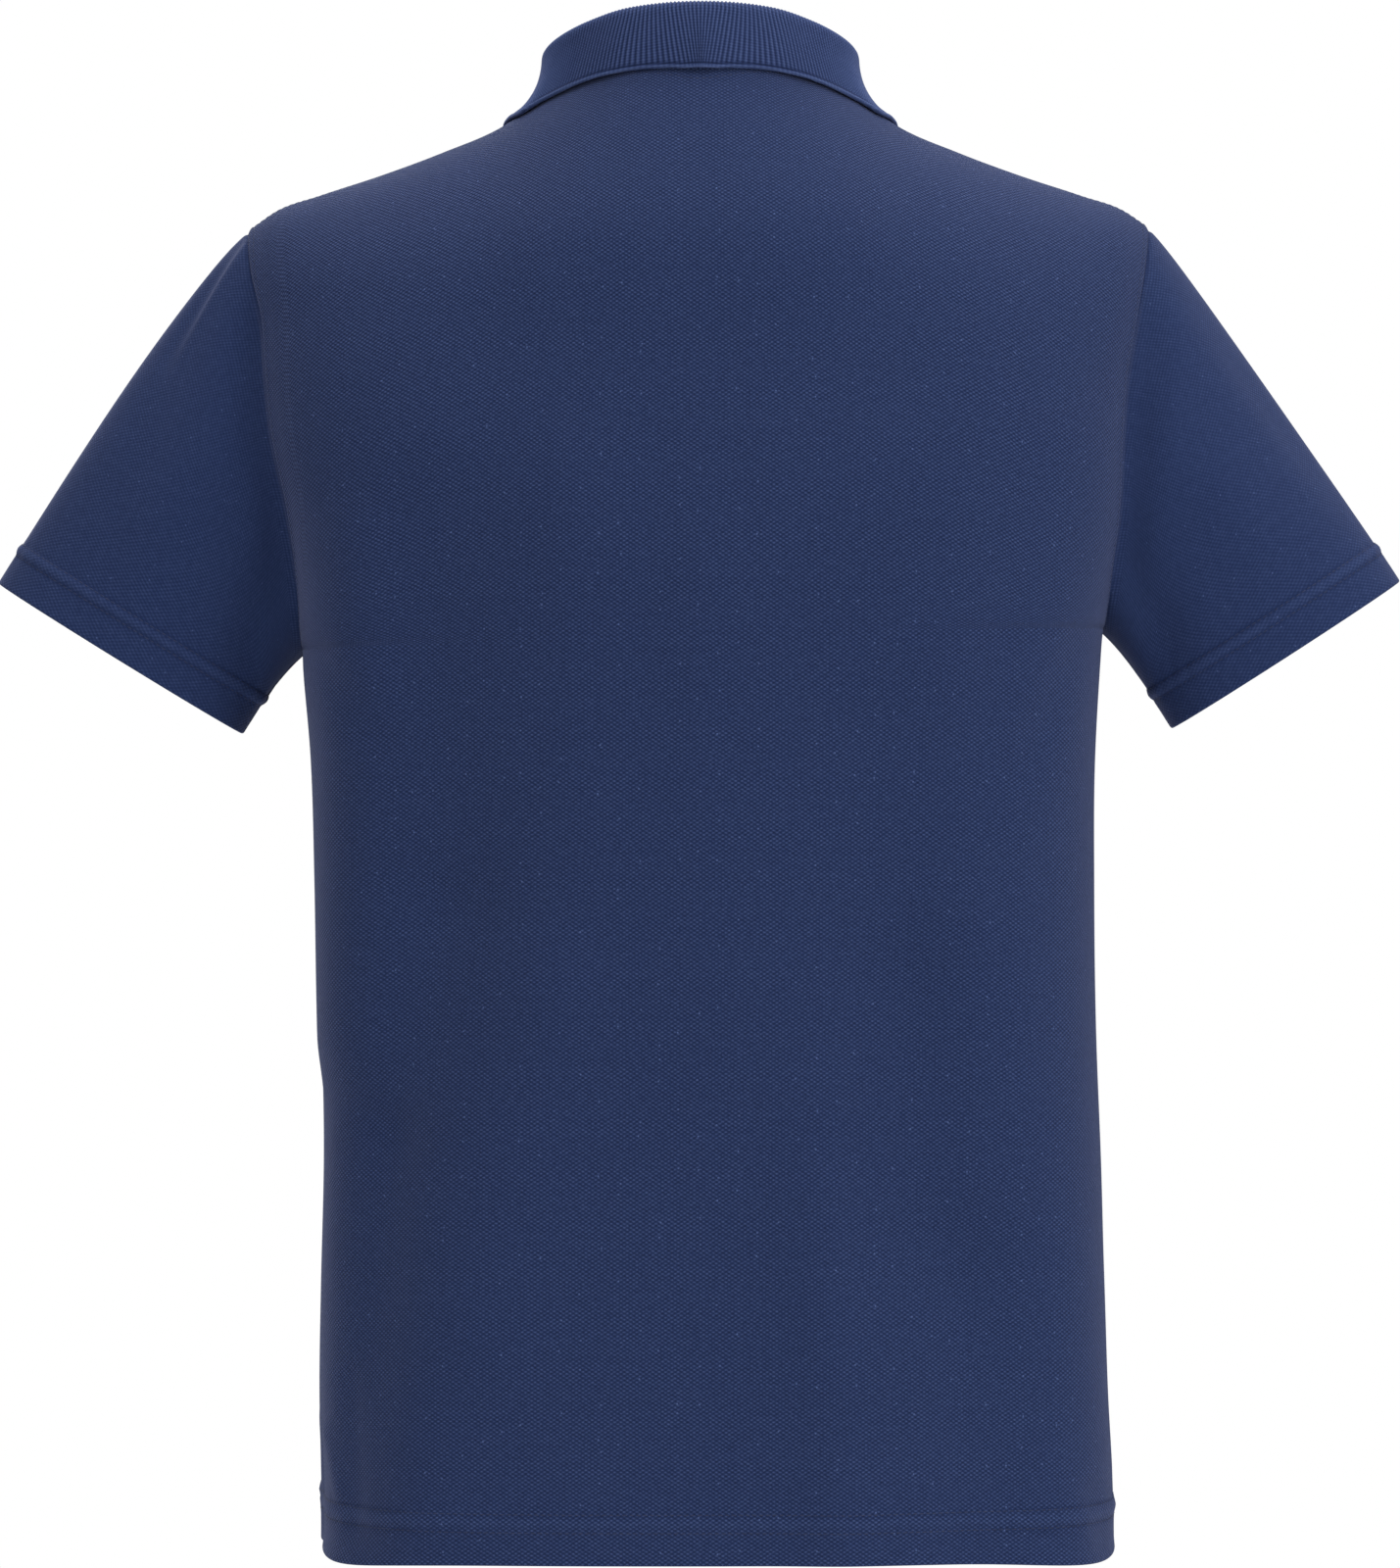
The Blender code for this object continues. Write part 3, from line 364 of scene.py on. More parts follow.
def top_line(face, x):
    """Place along Y and height of a panel's top: the neckline, and the shoulder seam beyond it."""
    turn = np.sqrt(np.clip(1 - (x / NECK_HALF_WIDTH) ** 2, 0.0, 1.0))
    seam = ridge_place(x)
    y = seam + face * (NECK_BACK_REACH if face == BACK else NECK_FRONT_REACH) * turn
    ridge = RIDGE.at("level", np.abs(x))
    power = roundness(face, x)
    z = ridge
    for __ in range(SETTLING_ROUNDS):
        under = underarm_level(x, z)
        share = np.clip((y - seam) / (body_slab(face, x, z) - seam), 0.0, 1.0)
        z = under + (ridge - under) * (1 - share ** power) ** (1 / power)
    return y, z


def corner_drop(reach):
    """How far the hem hangs lower, most just inside the corners and nothing at the side seams."""
    power = HEM_CORNER_POWER
    most = math.sqrt(power ** power / (power + 1) ** (power + 1))
    return HEM_CORNER_DROP * reach ** power * np.sqrt(np.clip(1 - reach ** 2, 0.0, 1.0)) / most


print(f"neckline at the back: {float(top_line(BACK, 0.0)[1]) * 1000:.1f} mm over the origin")

# %% [markdown]
# ## Even grids
#
# A knit is even, so its shell should be too: the points are spaced by distance along the cloth,
# not by height or width, and they crowd only where a seam or a hem needs it. Each panel is first
# worked out far too finely, then read again at chosen distances, across and up.

# %% Reading lines at chosen distances
SEAM_STEPS = (0.0, 0.0005, 0.0010, 0.0016, 0.0024, 0.0034, 0.0048, 0.0068)
BODY_STITCH_LINES = (0.0185, 0.0270)     # above the hem's edge
SLEEVE_STITCH_LINES = (0.0158, 0.0220)
EDGE_STEPS = (0.0, 0.0002, 0.0005, 0.0010, 0.0018)
HEM_STEPS = (0.005, 0.009, 0.0125)
STITCH_STEPS = (-0.0016, -0.0008, 0.0, 0.0008, 0.0016)
PAST_HEM = 0.004               # the last fine step, above the upper line of stitches


def hem_steps(lines):
    """Distances from a hem's edge: close together round the edge and round both stitch lines."""
    around = tuple(line + step for line in lines for step in STITCH_STEPS)
    between = ((lines[0] + lines[1]) / 2,)
    return tuple(sorted(EDGE_STEPS + HEM_STEPS + between + around)) + (lines[1] + PAST_HEM,)


def spread(length, start, end, cells):
    """Distances along a line: fixed ones at its start and its end, and equal ones between."""
    low, high = start[-1], length - end[-1]
    between = np.linspace(low, high, cells + 1)[1:-1]
    return np.concatenate((start, between, length - np.array(end[::-1])))


def walked(line):
    """Distance along a line of points, at each point."""
    return np.concatenate(([0.0], np.cumsum(np.linalg.norm(np.diff(line, axis=0), axis=1))))


def read_points(places, stations, line):
    """Points of a line at some places, where stations has the place of each of its points."""
    return np.stack([np.interp(places, stations, line[:, k]) for k in range(3)], axis=1)


def read_at(line, start, end, cells):
    """The line's points at distances that are spread like this along it."""
    along = walked(line)
    return read_points(spread(along[-1], start, end, cells), along, line)


def read_stretches(line, stretches):
    """The same for a line in several stretches, each (first, last, start, end, cells)."""
    parts = []
    for first, last, start, end, cells in stretches:
        points = read_at(line[first:last + 1], start, end, cells)
        parts.append(points if not parts else points[1:])
    return np.concatenate(parts)


def distances(grid, axis):
    """Distance walked along the rows or the columns of a grid."""
    steps = np.linalg.norm(np.diff(grid, axis=axis), axis=2)
    zero = np.zeros((1, grid.shape[1])) if axis == 0 else np.zeros((grid.shape[0], 1))
    return np.concatenate((zero, np.cumsum(steps, axis=axis)), axis=axis)


print(len(hem_steps(BODY_STITCH_LINES)), "rows of points over the body's hem")

# %% [markdown]
# ## Front and back
#
# Both panels are made by one function. Its columns keep their part of the width from hem to
# top, so the middle one runs straight down and the outer one is the side seam and the armhole.
# A grid of numbers does this better than modelling by hand, because both halves of the body and
# the sleeves then meet point by point.

# %% Half a panel, far finer than needed
# steps of the fine grid over each stretch of the top, and over the height
DENSE_SLIT = 6
DENSE_NECK = 60
DENSE_SHOULDER = 150
DENSE_LOWER = 110
DENSE_UPPER = 170
RIDGE_CROWDING = 2.3           # crowds the fine rows toward the top, where the cloth turns over
SHOULDER_CROWDING = 3          # and the fine columns toward the armhole


def dense_tops(middle, end):
    """Places across the top of half a panel, from the middle to the armhole."""
    first_turn = math.asin(middle / NECK_HALF_WIDTH)
    turns = np.linspace(first_turn, math.pi / 2, DENSE_NECK + 1)
    neck = NECK_HALF_WIDTH * np.sin(turns)
    shares = np.linspace(0.0, 1.0, DENSE_SHOULDER + 1)[1:]
    out = 1 - (1 - shares) ** SHOULDER_CROWDING
    shoulder = NECK_HALF_WIDTH + (end - NECK_HALF_WIDTH) * out
    slit = np.linspace(0.0, middle, DENSE_SLIT + 1)[:-1] if middle else np.array(())
    return np.concatenate((slit, neck, shoulder))


def upper_shares():
    """Places of the fine rows from the underarm, 0, to the top, 1."""
    return 1 - (1 - np.linspace(0.0, 1.0, DENSE_UPPER + 1)) ** RIDGE_CROWDING


def dense_half(face, side, middle):
    """Half a panel: rows from the hem up, columns from the middle out."""
    end = SIDES.columns["left" if side > 0 else "right"][-1]
    tops = dense_tops(middle, end)
    under = underarm_across(side * tops / end)
    y_top, z_top = top_line(face, side * tops)
    lower = np.linspace(0.0, 1.0, DENSE_LOWER + 1)[:, None]
    upper = upper_shares()[1:, None]
    z = np.concatenate((HEM_LEVEL + (under - HEM_LEVEL) * lower, under + (z_top - under) * upper))
    width = half_width(np.full_like(z, side), z)
    share = np.clip((tops - middle) / (end - middle), 0.0, 1.0)
    x = side * np.where(tops <= middle, tops, middle + (width - middle) * share)
    y = body_depth(face, x, z)
    y[-1] = y_top
    y[:DENSE_LOWER + 1, -1] = 0.0
    if face == BACK:
        low = np.clip((HEM_LEVEL + 2 * BODY_HEM - z) / (2 * BODY_HEM), 0.0, 1.0)
        z = z - corner_drop(np.abs(x) / width) * low
    return np.stack((x, y, z), axis=2)


dense_size = dense_half(BACK, 1.0, 0.0).shape
print("half a back panel, before it is evened out:", dense_size[:2], "points")

# %% Half a panel, evened out
COLUMNS_SLIT = 5               # cells of the finished grid, over half of each stretch
COLUMNS_NECK = 20
COLUMNS_SIDE = 46
ROWS_LOWER = 100
ROWS_SLIT_FOOT = 20
ROWS_UPPER = 46
UNDERARM_STEPS = (0.0, 0.0012, 0.0030)
PLAIN_START = (0.0,)           # where a stretch needs no fine steps


def fine_half(face, side):
    """Half a panel, evened out across and then up. The foot of the slit gets a row of its own."""
    middle = 0.0 if face == BACK else PLACKET_HALF
    dense = dense_half(face, side, middle)
    slit = DENSE_SLIT if middle else 0
    neck = slit + DENSE_NECK
    across = [(slit, neck, PLAIN_START, PLAIN_START, COLUMNS_NECK),
              (neck, dense.shape[1] - 1, PLAIN_START, SEAM_STEPS, COLUMNS_SIDE)]
    if middle:
        across.insert(0, (0, slit, PLAIN_START, PLAIN_START, COLUMNS_SLIT))
    evened = np.stack([read_stretches(row, across) for row in dense])
    foot = DENSE_LOWER + int(np.argmin(np.abs(upper_shares() - SLIT_FOOT)))
    up = [(0, DENSE_LOWER, hem_steps(BODY_STITCH_LINES), PLAIN_START, ROWS_LOWER),
          (DENSE_LOWER, foot, UNDERARM_STEPS, PLAIN_START, ROWS_SLIT_FOOT),
          (foot, dense.shape[0] - 1, PLAIN_START, SEAM_STEPS, ROWS_UPPER)]
    return np.stack([read_stretches(evened[:, c], up) for c in range(evened.shape[1])], axis=1)


UNDERARM_ROW = len(hem_steps(BODY_STITCH_LINES)) - 1 + ROWS_LOWER
FOOT_ROW = UNDERARM_ROW + len(UNDERARM_STEPS) - 1 + ROWS_SLIT_FOOT
print("the underarm is row", UNDERARM_ROW, "and the foot of the slit row", FOOT_ROW)

# %% [markdown]
# Above the underarm the outer column follows the armhole instead of the side seam, so the form
# turns there all at once. Real cloth is pulled smooth over such a corner. The few rows round it
# are therefore laid anew, straight from the row below them to the row above.

# %% Whole panels
BRIDGE_BELOW = 2               # rows below the underarm, and above it, that are laid anew
BRIDGE_ABOVE = 9
BRIDGE_SIDE = 0.012            # and over this distance beside the armhole they keep their form


def at_width(line, x):
    """Depth and height of a row of points, read at the widths x."""
    order = np.argsort(line[:, 0])
    return [np.interp(x, line[order, 0], line[order, k]) for k in (1, 2)]


def bridged(grid):
    """The panel with its rows beside the underarm laid straight, from the row below them to the
    row above, so that no step runs across the panel from where the armhole starts."""
    low, high = grid[UNDERARM_ROW - BRIDGE_BELOW], grid[UNDERARM_ROW + BRIDGE_ABOVE]
    for row in grid[UNDERARM_ROW - BRIDGE_BELOW + 1:UNDERARM_ROW + BRIDGE_ABOVE]:
        x = row[:, 0]
        (y_low, z_low), (y_high, z_high) = at_width(low, x), at_width(high, x)
        part = (row[:, 2] - z_low) / (z_high - z_low)
        share = smooth_step((np.abs(high[:, 0]).max() - np.abs(x)) / BRIDGE_SIDE)
        row[:, 1] += share * (y_low + part * (y_high - y_low) - row[:, 1])
    return grid


def body_grid(face):
    """A whole panel. The columns run from the wearer's left over the back, and from the right
    over the front, so that the faces look outward."""
    left, right = fine_half(face, 1.0), fine_half(face, -1.0)
    across = np.concatenate((left[:, ::-1], right[:, 1:]), axis=1)
    return bridged(across[:, ::face])


back_form, front_form = body_grid(BACK), body_grid(FRONT)
print("back", back_form.shape[:2], "front", front_form.shape[:2], "points")

# %% [markdown]
# ## Sleeves
#
# A set-in sleeve starts on the armhole's own points, so that it can be sewn on without a gap,
# and runs out to an oval cuff. Each line down its length is a Bezier curve: it leaves the
# shoulder on the shoulder's slope and arrives square to the cuff.

# %% The sleeves' points
DENSE_SLEEVE = 120
SLEEVE_CELLS = 52
# x and height of each cuff's outer and inner end
CUFFS = {
    "left": {"outer": (0.3310, -0.2182), "inner": (0.2172, -0.2884)},
    "right": {"outer": (-0.3298, -0.2172), "inner": (-0.2236, -0.2858)},
}
CUFF_HALF_DEPTH = 0.039
CUFF_DEPTH_PLACE = -0.002
SHOULDER_SLOPE = math.radians(36)
# how far the curves are led along their first and last directions, as parts of their length
CAP_LEAD = {"left": 0.14, "right": 0.08}
UNDER_LEAD = 0.30
CUFF_LEAD = 0.30
UNDER_OUTWARD = 0.35           # leans the lines under the arm outward where they start


def armhole_ring(side):
    """The armhole's points, once round from the underarm."""
    edge_of_back = 0 if side == "left" else -1
    edge_of_front = -1 if side == "left" else 0
    up_back = back_form[UNDERARM_ROW:, edge_of_back]
    up_front = front_form[UNDERARM_ROW:, edge_of_front]
    first, second = (up_back, up_front) if side == "left" else (up_front, up_back)
    return np.concatenate((first, second[-2:0:-1]))


def sleeve_grid(side):
    """Rows from the armhole to the cuff, each a ring."""
    ring = armhole_ring(side)
    outer, inner = (np.array((p[0], CUFF_DEPTH_PLACE, p[1])) for p in CUFFS[side].values())
    centre, half_long = (outer + inner) / 2, (outer - inner) / 2
    out_sign = 1.0 if side == "left" else -1.0
    across = unit(half_long)
    cuff_way = out_sign * np.array((across[2], 0.0, -across[0]))
    steps = np.linalg.norm(np.roll(ring, -1, axis=0) - ring, axis=1)
    share = np.concatenate(([0.0], np.cumsum(steps)[:-1])) / steps.sum()
    turn = 2 * np.pi * share[:, None]
    half_deep = np.array((0.0, CUFF_HALF_DEPTH * out_sign, 0.0))
    cuff = centre - np.cos(turn) * half_long + np.sin(turn) * half_deep
    run = cuff - ring
    length = np.linalg.norm(run, axis=1, keepdims=True)
    topness = ((ring[:, 2:] - ring[:, 2].min()) / np.ptp(ring[:, 2])) ** 2
    shoulder_way = np.array((out_sign * math.cos(SHOULDER_SLOPE), 0.0, -math.sin(SHOULDER_SLOPE)))
    under_way = unit(unit(run) + np.array((out_sign * UNDER_OUTWARD, 0.0, 0.0)))
    start_way = unit(under_way * (1 - topness) + shoulder_way * topness)
    leave = ring + start_way * length * (UNDER_LEAD + (CAP_LEAD[side] - UNDER_LEAD) * topness)
    arrive = cuff - cuff_way * length * CUFF_LEAD
    t = np.linspace(0.0, 1.0, DENSE_SLEEVE + 1)[:, None, None]
    dense = (ring * (1 - t) ** 3 + leave * 3 * t * (1 - t) ** 2
             + arrive * 3 * t ** 2 * (1 - t) + cuff * t ** 3)
    hem = hem_steps(SLEEVE_STITCH_LINES)
    grid = np.stack([read_at(dense[:, c], SEAM_STEPS, hem, SLEEVE_CELLS)
                     for c in range(dense.shape[1])], axis=1)
    round_share = share if side == "left" else (1 - share) % 1.0
    return grid, round_share


sleeve_forms = {side: sleeve_grid(side) for side in ("left", "right")}
print("sleeve", sleeve_forms["left"][0].shape[:2], "points")

# %% [markdown]
# ## Creases
#
# A filled-out shirt still has soft folds, where the cloth is a little wider than the form and
# where it hangs from the shoulders. Each is a bell-shaped trough or ridge along a straight run.
# The largest are in the solids too, in a plainer form. The small ones are sharper and more
# uneven. A cloth simulation would make folds of its own, wherever they happened to fall, so a
# table puts each one where it belongs.

# %% The tables of folds
FOLD_COLUMNS = ("face", "start_x", "start_z", "end_x", "end_z", "half_width", "depth")
LARGE_FOLDS = (
    ("back", 0.118, -0.200, 0.119, -0.355, 0.034, -0.0056),
    ("back", 0.120, -0.375, 0.144, -0.465, 0.026, -0.0054),
    ("back", 0.147, -0.480, 0.162, -0.655, 0.020, -0.0066),
    ("back", 0.160, -0.200, 0.164, -0.430, 0.018, 0.0036),
    ("back", 0.056, -0.320, 0.066, -0.410, 0.026, 0.0030),
    ("back", 0.068, -0.415, 0.104, -0.560, 0.027, 0.0034),
    ("back", 0.006, -0.230, 0.004, -0.390, 0.042, 0.0046),
    ("back", 0.062, -0.165, 0.058, -0.280, 0.014, 0.0012),
    ("back", 0.024, -0.160, 0.022, -0.270, 0.014, -0.0014),
    ("back", -0.086, -0.300, -0.088, -0.400, 0.034, -0.0030),
    ("back", -0.092, -0.410, -0.103, -0.520, 0.036, -0.0082),
    ("back", -0.128, -0.540, -0.130, -0.660, 0.034, -0.0078),
    ("back", -0.052, -0.500, -0.064, -0.660, 0.018, 0.0030),
    ("back", 0.095, -0.128, -0.080, -0.122, 0.050, -0.0044),
    ("back", 0.070, -0.062, -0.060, -0.058, 0.032, 0.0030),
    ("back", 0.150, -0.190, 0.120, -0.300, 0.022, -0.0010),
    ("back", -0.152, -0.180, -0.128, -0.310, 0.022, -0.0022),
    ("front", -0.150, -0.190, -0.080, -0.320, 0.028, -0.0030),
    ("front", 0.152, -0.195, 0.090, -0.350, 0.028, -0.0032),
    ("front", 0.060, -0.330, 0.120, -0.560, 0.032, 0.0034),
    ("front", -0.070, -0.370, -0.130, -0.600, 0.030, -0.0034),
    ("front", 0.010, -0.420, 0.030, -0.640, 0.034, -0.0030),
)
SMALL_FOLDS = (
    ("back", 0.1765, -0.612, 0.1715, -0.642, 0.0022, 0.0012),
    ("back", 0.1660, -0.585, 0.1640, -0.655, 0.0060, -0.0016),
    ("back", -0.1830, -0.640, -0.1870, -0.664, 0.0060, -0.0016),
    ("back", 0.1250, -0.655, 0.1240, -0.668, 0.0200, 0.0009),
    ("back", -0.0300, -0.655, -0.0310, -0.668, 0.0220, -0.0009),
    ("back", 0.1760, -0.250, 0.1500, -0.292, 0.0080, -0.0015),
    ("back", -0.1760, -0.245, -0.1520, -0.300, 0.0090, -0.0015),
    ("front", 0.1500, -0.140, 0.1180, -0.205, 0.0120, -0.0016),
    ("front", -0.1520, -0.130, -0.1200, -0.200, 0.0120, -0.0016),
    ("front", 0.0260, -0.205, 0.0700, -0.262, 0.0100, -0.0014),
    ("front", -0.0260, -0.205, -0.0620, -0.270, 0.0110, -0.0013),
    ("front", 0.1500, -0.600, 0.1460, -0.662, 0.0140, 0.0015),
    ("front", -0.0900, -0.610, -0.0880, -0.664, 0.0160, 0.0014),
)
FOLD_CALM_SIDE = 0.016         # large folds die out over this distance beside a side seam
FOLD_CALM_TOP = 0.030          # and below a neckline or a shoulder seam

SLEEVE_FOLD_SWELL = 1.2        # more than 1 makes a sleeve's folds fade sooner toward their ends
SLEEVE_FOLD_COLUMNS = ("side", "round_in", "round_out", "half_round", "start", "end", "depth")
SLEEVE_FOLDS = (
    ("left", 0.46, 0.33, 0.050, 0.00, 0.55, -0.0022),
    ("left", 0.30, 0.26, 0.060, 0.10, 0.95, 0.0034),
    ("left", 0.14, 0.09, 0.050, 0.05, 0.90, -0.0036),
    ("left", 0.72, 0.80, 0.060, 0.05, 0.90, -0.0026),
    ("left", 0.452, 0.30, 0.008, -0.10, 0.34, 0.0012),
    ("left", 0.476, 0.33, 0.016, -0.10, 0.36, -0.0022),
    ("right", 0.45, 0.44, 0.050, -0.10, 0.95, -0.0036),
    ("right", 0.27, 0.31, 0.060, 0.05, 0.95, 0.0036),
    ("right", 0.12, 0.10, 0.050, 0.05, 0.90, -0.0036),
    ("right", 0.74, 0.82, 0.060, 0.05, 0.90, -0.0026),
)
print(len(LARGE_FOLDS) + len(SMALL_FOLDS), "folds on the body,", len(SLEEVE_FOLDS), "on the sleeves")

# %% Heights of folds
def named_rows(columns, rows, chosen):
    """The rows of a table whose first column says chosen, each as values by column."""
    return [dict(zip(columns, row)) for row in rows if row[0] == chosen]


def fold_height(folds, face, x, z):
    """Sum of the folds of one face at x and z."""
    total = np.zeros_like(x)
    for fold in named_rows(FOLD_COLUMNS, folds, face_name(face)):
        start = np.array((fold["start_x"], fold["start_z"]))
        run = np.array((fold["end_x"], fold["end_z"])) - start
        away = np.stack((x, z), axis=-1) - start
        along = np.clip((away @ run) / (run @ run), 0.0, 1.0)
        off = np.linalg.norm(away - along[..., None] * run, axis=-1)
        total += fold["depth"] * bell(off, 0.0, fold["half_width"])
    return total


def sleeve_fold_height(side, round_share, part_along):
    """The same for a sleeve, by the part of the way round it and along it."""
    total = np.zeros(part_along.shape)
    for fold in named_rows(SLEEVE_FOLD_COLUMNS, SLEEVE_FOLDS, side):
        part = (part_along - fold["start"]) / (fold["end"] - fold["start"])
        swell = np.sin(np.pi * np.clip(part, 0.0, 1.0)) ** SLEEVE_FOLD_SWELL
        lies_at = fold["round_in"] + (fold["round_out"] - fold["round_in"]) * part_along
        total += fold["depth"] * swell * bell(round_share, lies_at, fold["half_round"])
    return total


back_folds = fold_height(LARGE_FOLDS, BACK, back_form[..., 0], back_form[..., 2])
print(f"the back's large folds: {back_folds.min() * 1000:.1f} to {back_folds.max() * 1000:.1f} mm")

# %% [markdown]
# ## Seams and hems as relief
#
# A seam holds the cloth down in a narrow groove, with a soft roll beside it, and stitching does
# the same to a hem, in little puckers. All of that is a height above the plain form, worked out
# from the distance to the edge, and pushed out along the cloth's own normals. The grooves also
# get painted shade, and a hem's puffed band gets painted light, which the materials read.

# %% Normals
def grid_normals(grid, closed):
    """Unit normals of a grid's points, from the faces round them."""
    points = np.concatenate((grid, grid[:, :1]), axis=1) if closed else grid
    faces = unit(np.cross(points[1:, 1:] - points[:-1, :-1], points[1:, :-1] - points[:-1, 1:]))
    total = np.zeros_like(points)
    for rows in (slice(0, -1), slice(1, None)):
        for columns in (slice(0, -1), slice(1, None)):
            total[rows, columns] += faces
    if closed:
        total[:, 0] += total[:, -1]
        total = total[:, :-1]
    return unit(total)


print("normals of the back, one for each point:", grid_normals(back_form, False).shape)

# %% Heights of stitches and hems
STITCH_GROOVE = 0.00028
STITCH_GROOVE_WIDTH = 0.0009
HEM_SWELL = 0.00035            # the doubled hem stands a little proud of the panel
HEM_SWELL_EDGE = 0.001         # half of the distance over which that ends
HEM_PUFF = 0.00095             # and swells between its two lines of stitching
HEM_PUFF_WIDTH = 0.0026
HEM_PUFF_PAINTED_LIGHT = 0.5           # painted light on the puffed band, as a part of a groove's painted shade
PUCKER = 0.00026
PUCKER_LENGTH = 0.0085
PUCKER_SECOND = 1.63           # the second waves are this much longer, so that none look alike
PUCKER_SECOND_START = 2.1
PUCKER_SHARES = (0.6, 0.4)
PUCKER_WIDTH = 0.004
# where the waves of each line start
PUCKER_STARTS = {"body_hem": 0.7, "side": 1.9, "shoulder": 0.4,
                 "cuff": 1.3, "sleeve": 0.2, "band": 0.9}


def puckers(along, start):
    """Uneven little waves along a line of stitches."""
    first = np.sin(2 * np.pi * along / PUCKER_LENGTH + start)
    longer = PUCKER_LENGTH * PUCKER_SECOND
    second = np.sin(2 * np.pi * along / longer + PUCKER_SECOND_START * start)
    return PUCKER * (PUCKER_SHARES[0] * first + PUCKER_SHARES[1] * second)


def hem_relief(from_edge, along, lines, start):
    """Two grooves of stitching, the swell of the doubled cloth, and puckers round the grooves.
    Returns the height, and the painted shade in the grooves, less the painted light on the puffed band
    between them."""
    height = HEM_SWELL * smooth_step((lines[1] + HEM_SWELL_EDGE - from_edge) / (2 * HEM_SWELL_EDGE))
    puff = bell(from_edge, (lines[0] + lines[1]) / 2, HEM_PUFF_WIDTH)
    height += HEM_PUFF * puff
    shade = -HEM_PUFF_PAINTED_LIGHT * puff
    for number, line in enumerate(lines):
        groove = bell(from_edge, line, STITCH_GROOVE_WIDTH)
        height += puckers(along, start + number) * bell(from_edge, line, PUCKER_WIDTH)
        height -= STITCH_GROOVE * groove
        shade += groove
    return height, shade


def above_hem(grid):
    """How far each point is above the lowest part of the hem, along the cloth. So the stitching
    runs level past the rounded corners."""
    return distances(grid, 0) + grid[0, :, 2] - grid[0, :, 2].min()


print(f"the back's hem hangs {np.ptp(back_form[0, :, 2]) * 1000:.1f} mm lower beside its corners")

# %% Relief of a body panel
SIDE_SEAM_DEPTH = 0.0007
SHOULDER_SEAM_DEPTH = 0.0006
SEAM_WIDTH = 0.0012
SEAM_PAINTED_SHADE = 0.6                # painted shade in a seam's groove, where that in a groove of stitches is 1
HEM_CALM = 0.35                # what is left of the hem's relief at the side seams
HEM_CALM_SIDE = 0.008
ARMHOLE_GROOVE = 0.0008
ARMHOLE_ROLL = 0.0005          # the body's edge stands up beside the sleeve
ARMHOLE_ROLL_PLACE = 0.0034
ARMHOLE_ROLL_WIDTH = 0.0026
ARMHOLE_START_ROWS = 6         # rows over which the side seam gives way to the armhole's
CAP_TOP = 0.72                 # above this part of the armhole's height, the sleeve isn't sunk
CAP_TOP_RANGE = 0.22           # and what is left of the roll beside it is CAP_ROLL
CAP_ROLL = 0.3


def body_relief(face, grid):
    """Height of everything on a body panel, over its plain form, and its painted shade and light."""
    across, up = distances(grid, 1), distances(grid, 0)
    from_side = np.minimum(across, across[:, -1:] - across)
    from_top = up[-1:] - up
    calm = smooth_step(from_side / FOLD_CALM_SIDE) * smooth_step(from_top / FOLD_CALM_TOP)
    height = fold_height(LARGE_FOLDS, face, grid[..., 0], grid[..., 2]) * calm
    height += fold_height(SMALL_FOLDS, face, grid[..., 0], grid[..., 2])
    hem_height, shade = hem_relief(above_hem(grid), across, BODY_STITCH_LINES,
                                   PUCKER_STARTS["body_hem"] * face)
    height += hem_height * (HEM_CALM + (1 - HEM_CALM) * smooth_step(from_side / HEM_CALM_SIDE))
    rows = np.arange(grid.shape[0])[:, None]
    at_arm = smooth_step((rows - UNDERARM_ROW) / ARMHOLE_START_ROWS)
    at_seam = bell(from_side, 0.0, SEAM_WIDTH)
    side = (puckers(up, PUCKER_STARTS["side"]) - SIDE_SEAM_DEPTH) * at_seam
    arm_rows = grid[UNDERARM_ROW:, :, 2]
    arm_height = (grid[..., 2] - arm_rows[0]) / (arm_rows[-1] - arm_rows[0])
    low = 1 - (1 - CAP_ROLL) * smooth_step((arm_height - CAP_TOP) / CAP_TOP_RANGE)
    arm = ARMHOLE_ROLL * bell(from_side, ARMHOLE_ROLL_PLACE, ARMHOLE_ROLL_WIDTH) * low
    arm -= ARMHOLE_GROOVE * at_seam
    height += side * (1 - at_arm) + arm * at_arm
    in_neck = np.abs(grid[-1, :, 0]) < NECK_HALF_WIDTH
    at_shoulder = np.where(in_neck[None, :], 0.0, bell(from_top, 0.0, SEAM_WIDTH))
    height += (puckers(across, PUCKER_STARTS["shoulder"]) - SHOULDER_SEAM_DEPTH) * at_shoulder
    return height, shade + SEAM_PAINTED_SHADE * (at_seam + at_shoulder)


back_relief, front_relief = body_relief(BACK, back_form), body_relief(FRONT, front_form)
for name, (height, __) in (("back", back_relief), ("front", front_relief)):
    print(f"{name}: {height.min() * 1000:.1f} to {height.max() * 1000:.1f} mm of relief")

# %% Relief of a sleeve
SLEEVE_SINK = 0.0042           # the sleeve sinks beside the body's rolled edge
SLEEVE_SINK_PLACE = 0.0070
SLEEVE_SINK_WIDTH = 0.0140
SLEEVE_SINK_START = 0.003      # the seam itself isn't sunk, and the sinking starts over this
UNDERARM_FLAT = 0.06           # parts of the armhole's height over which it starts from below
UNDERARM_RANGE = 0.16
# painted shade in the groove of the armhole seam, on the sleeve
ARMHOLE_PAINTED_SHADE = 0.9
LAST_STEP = 0.003              # about the gap between a ring's last point and its first


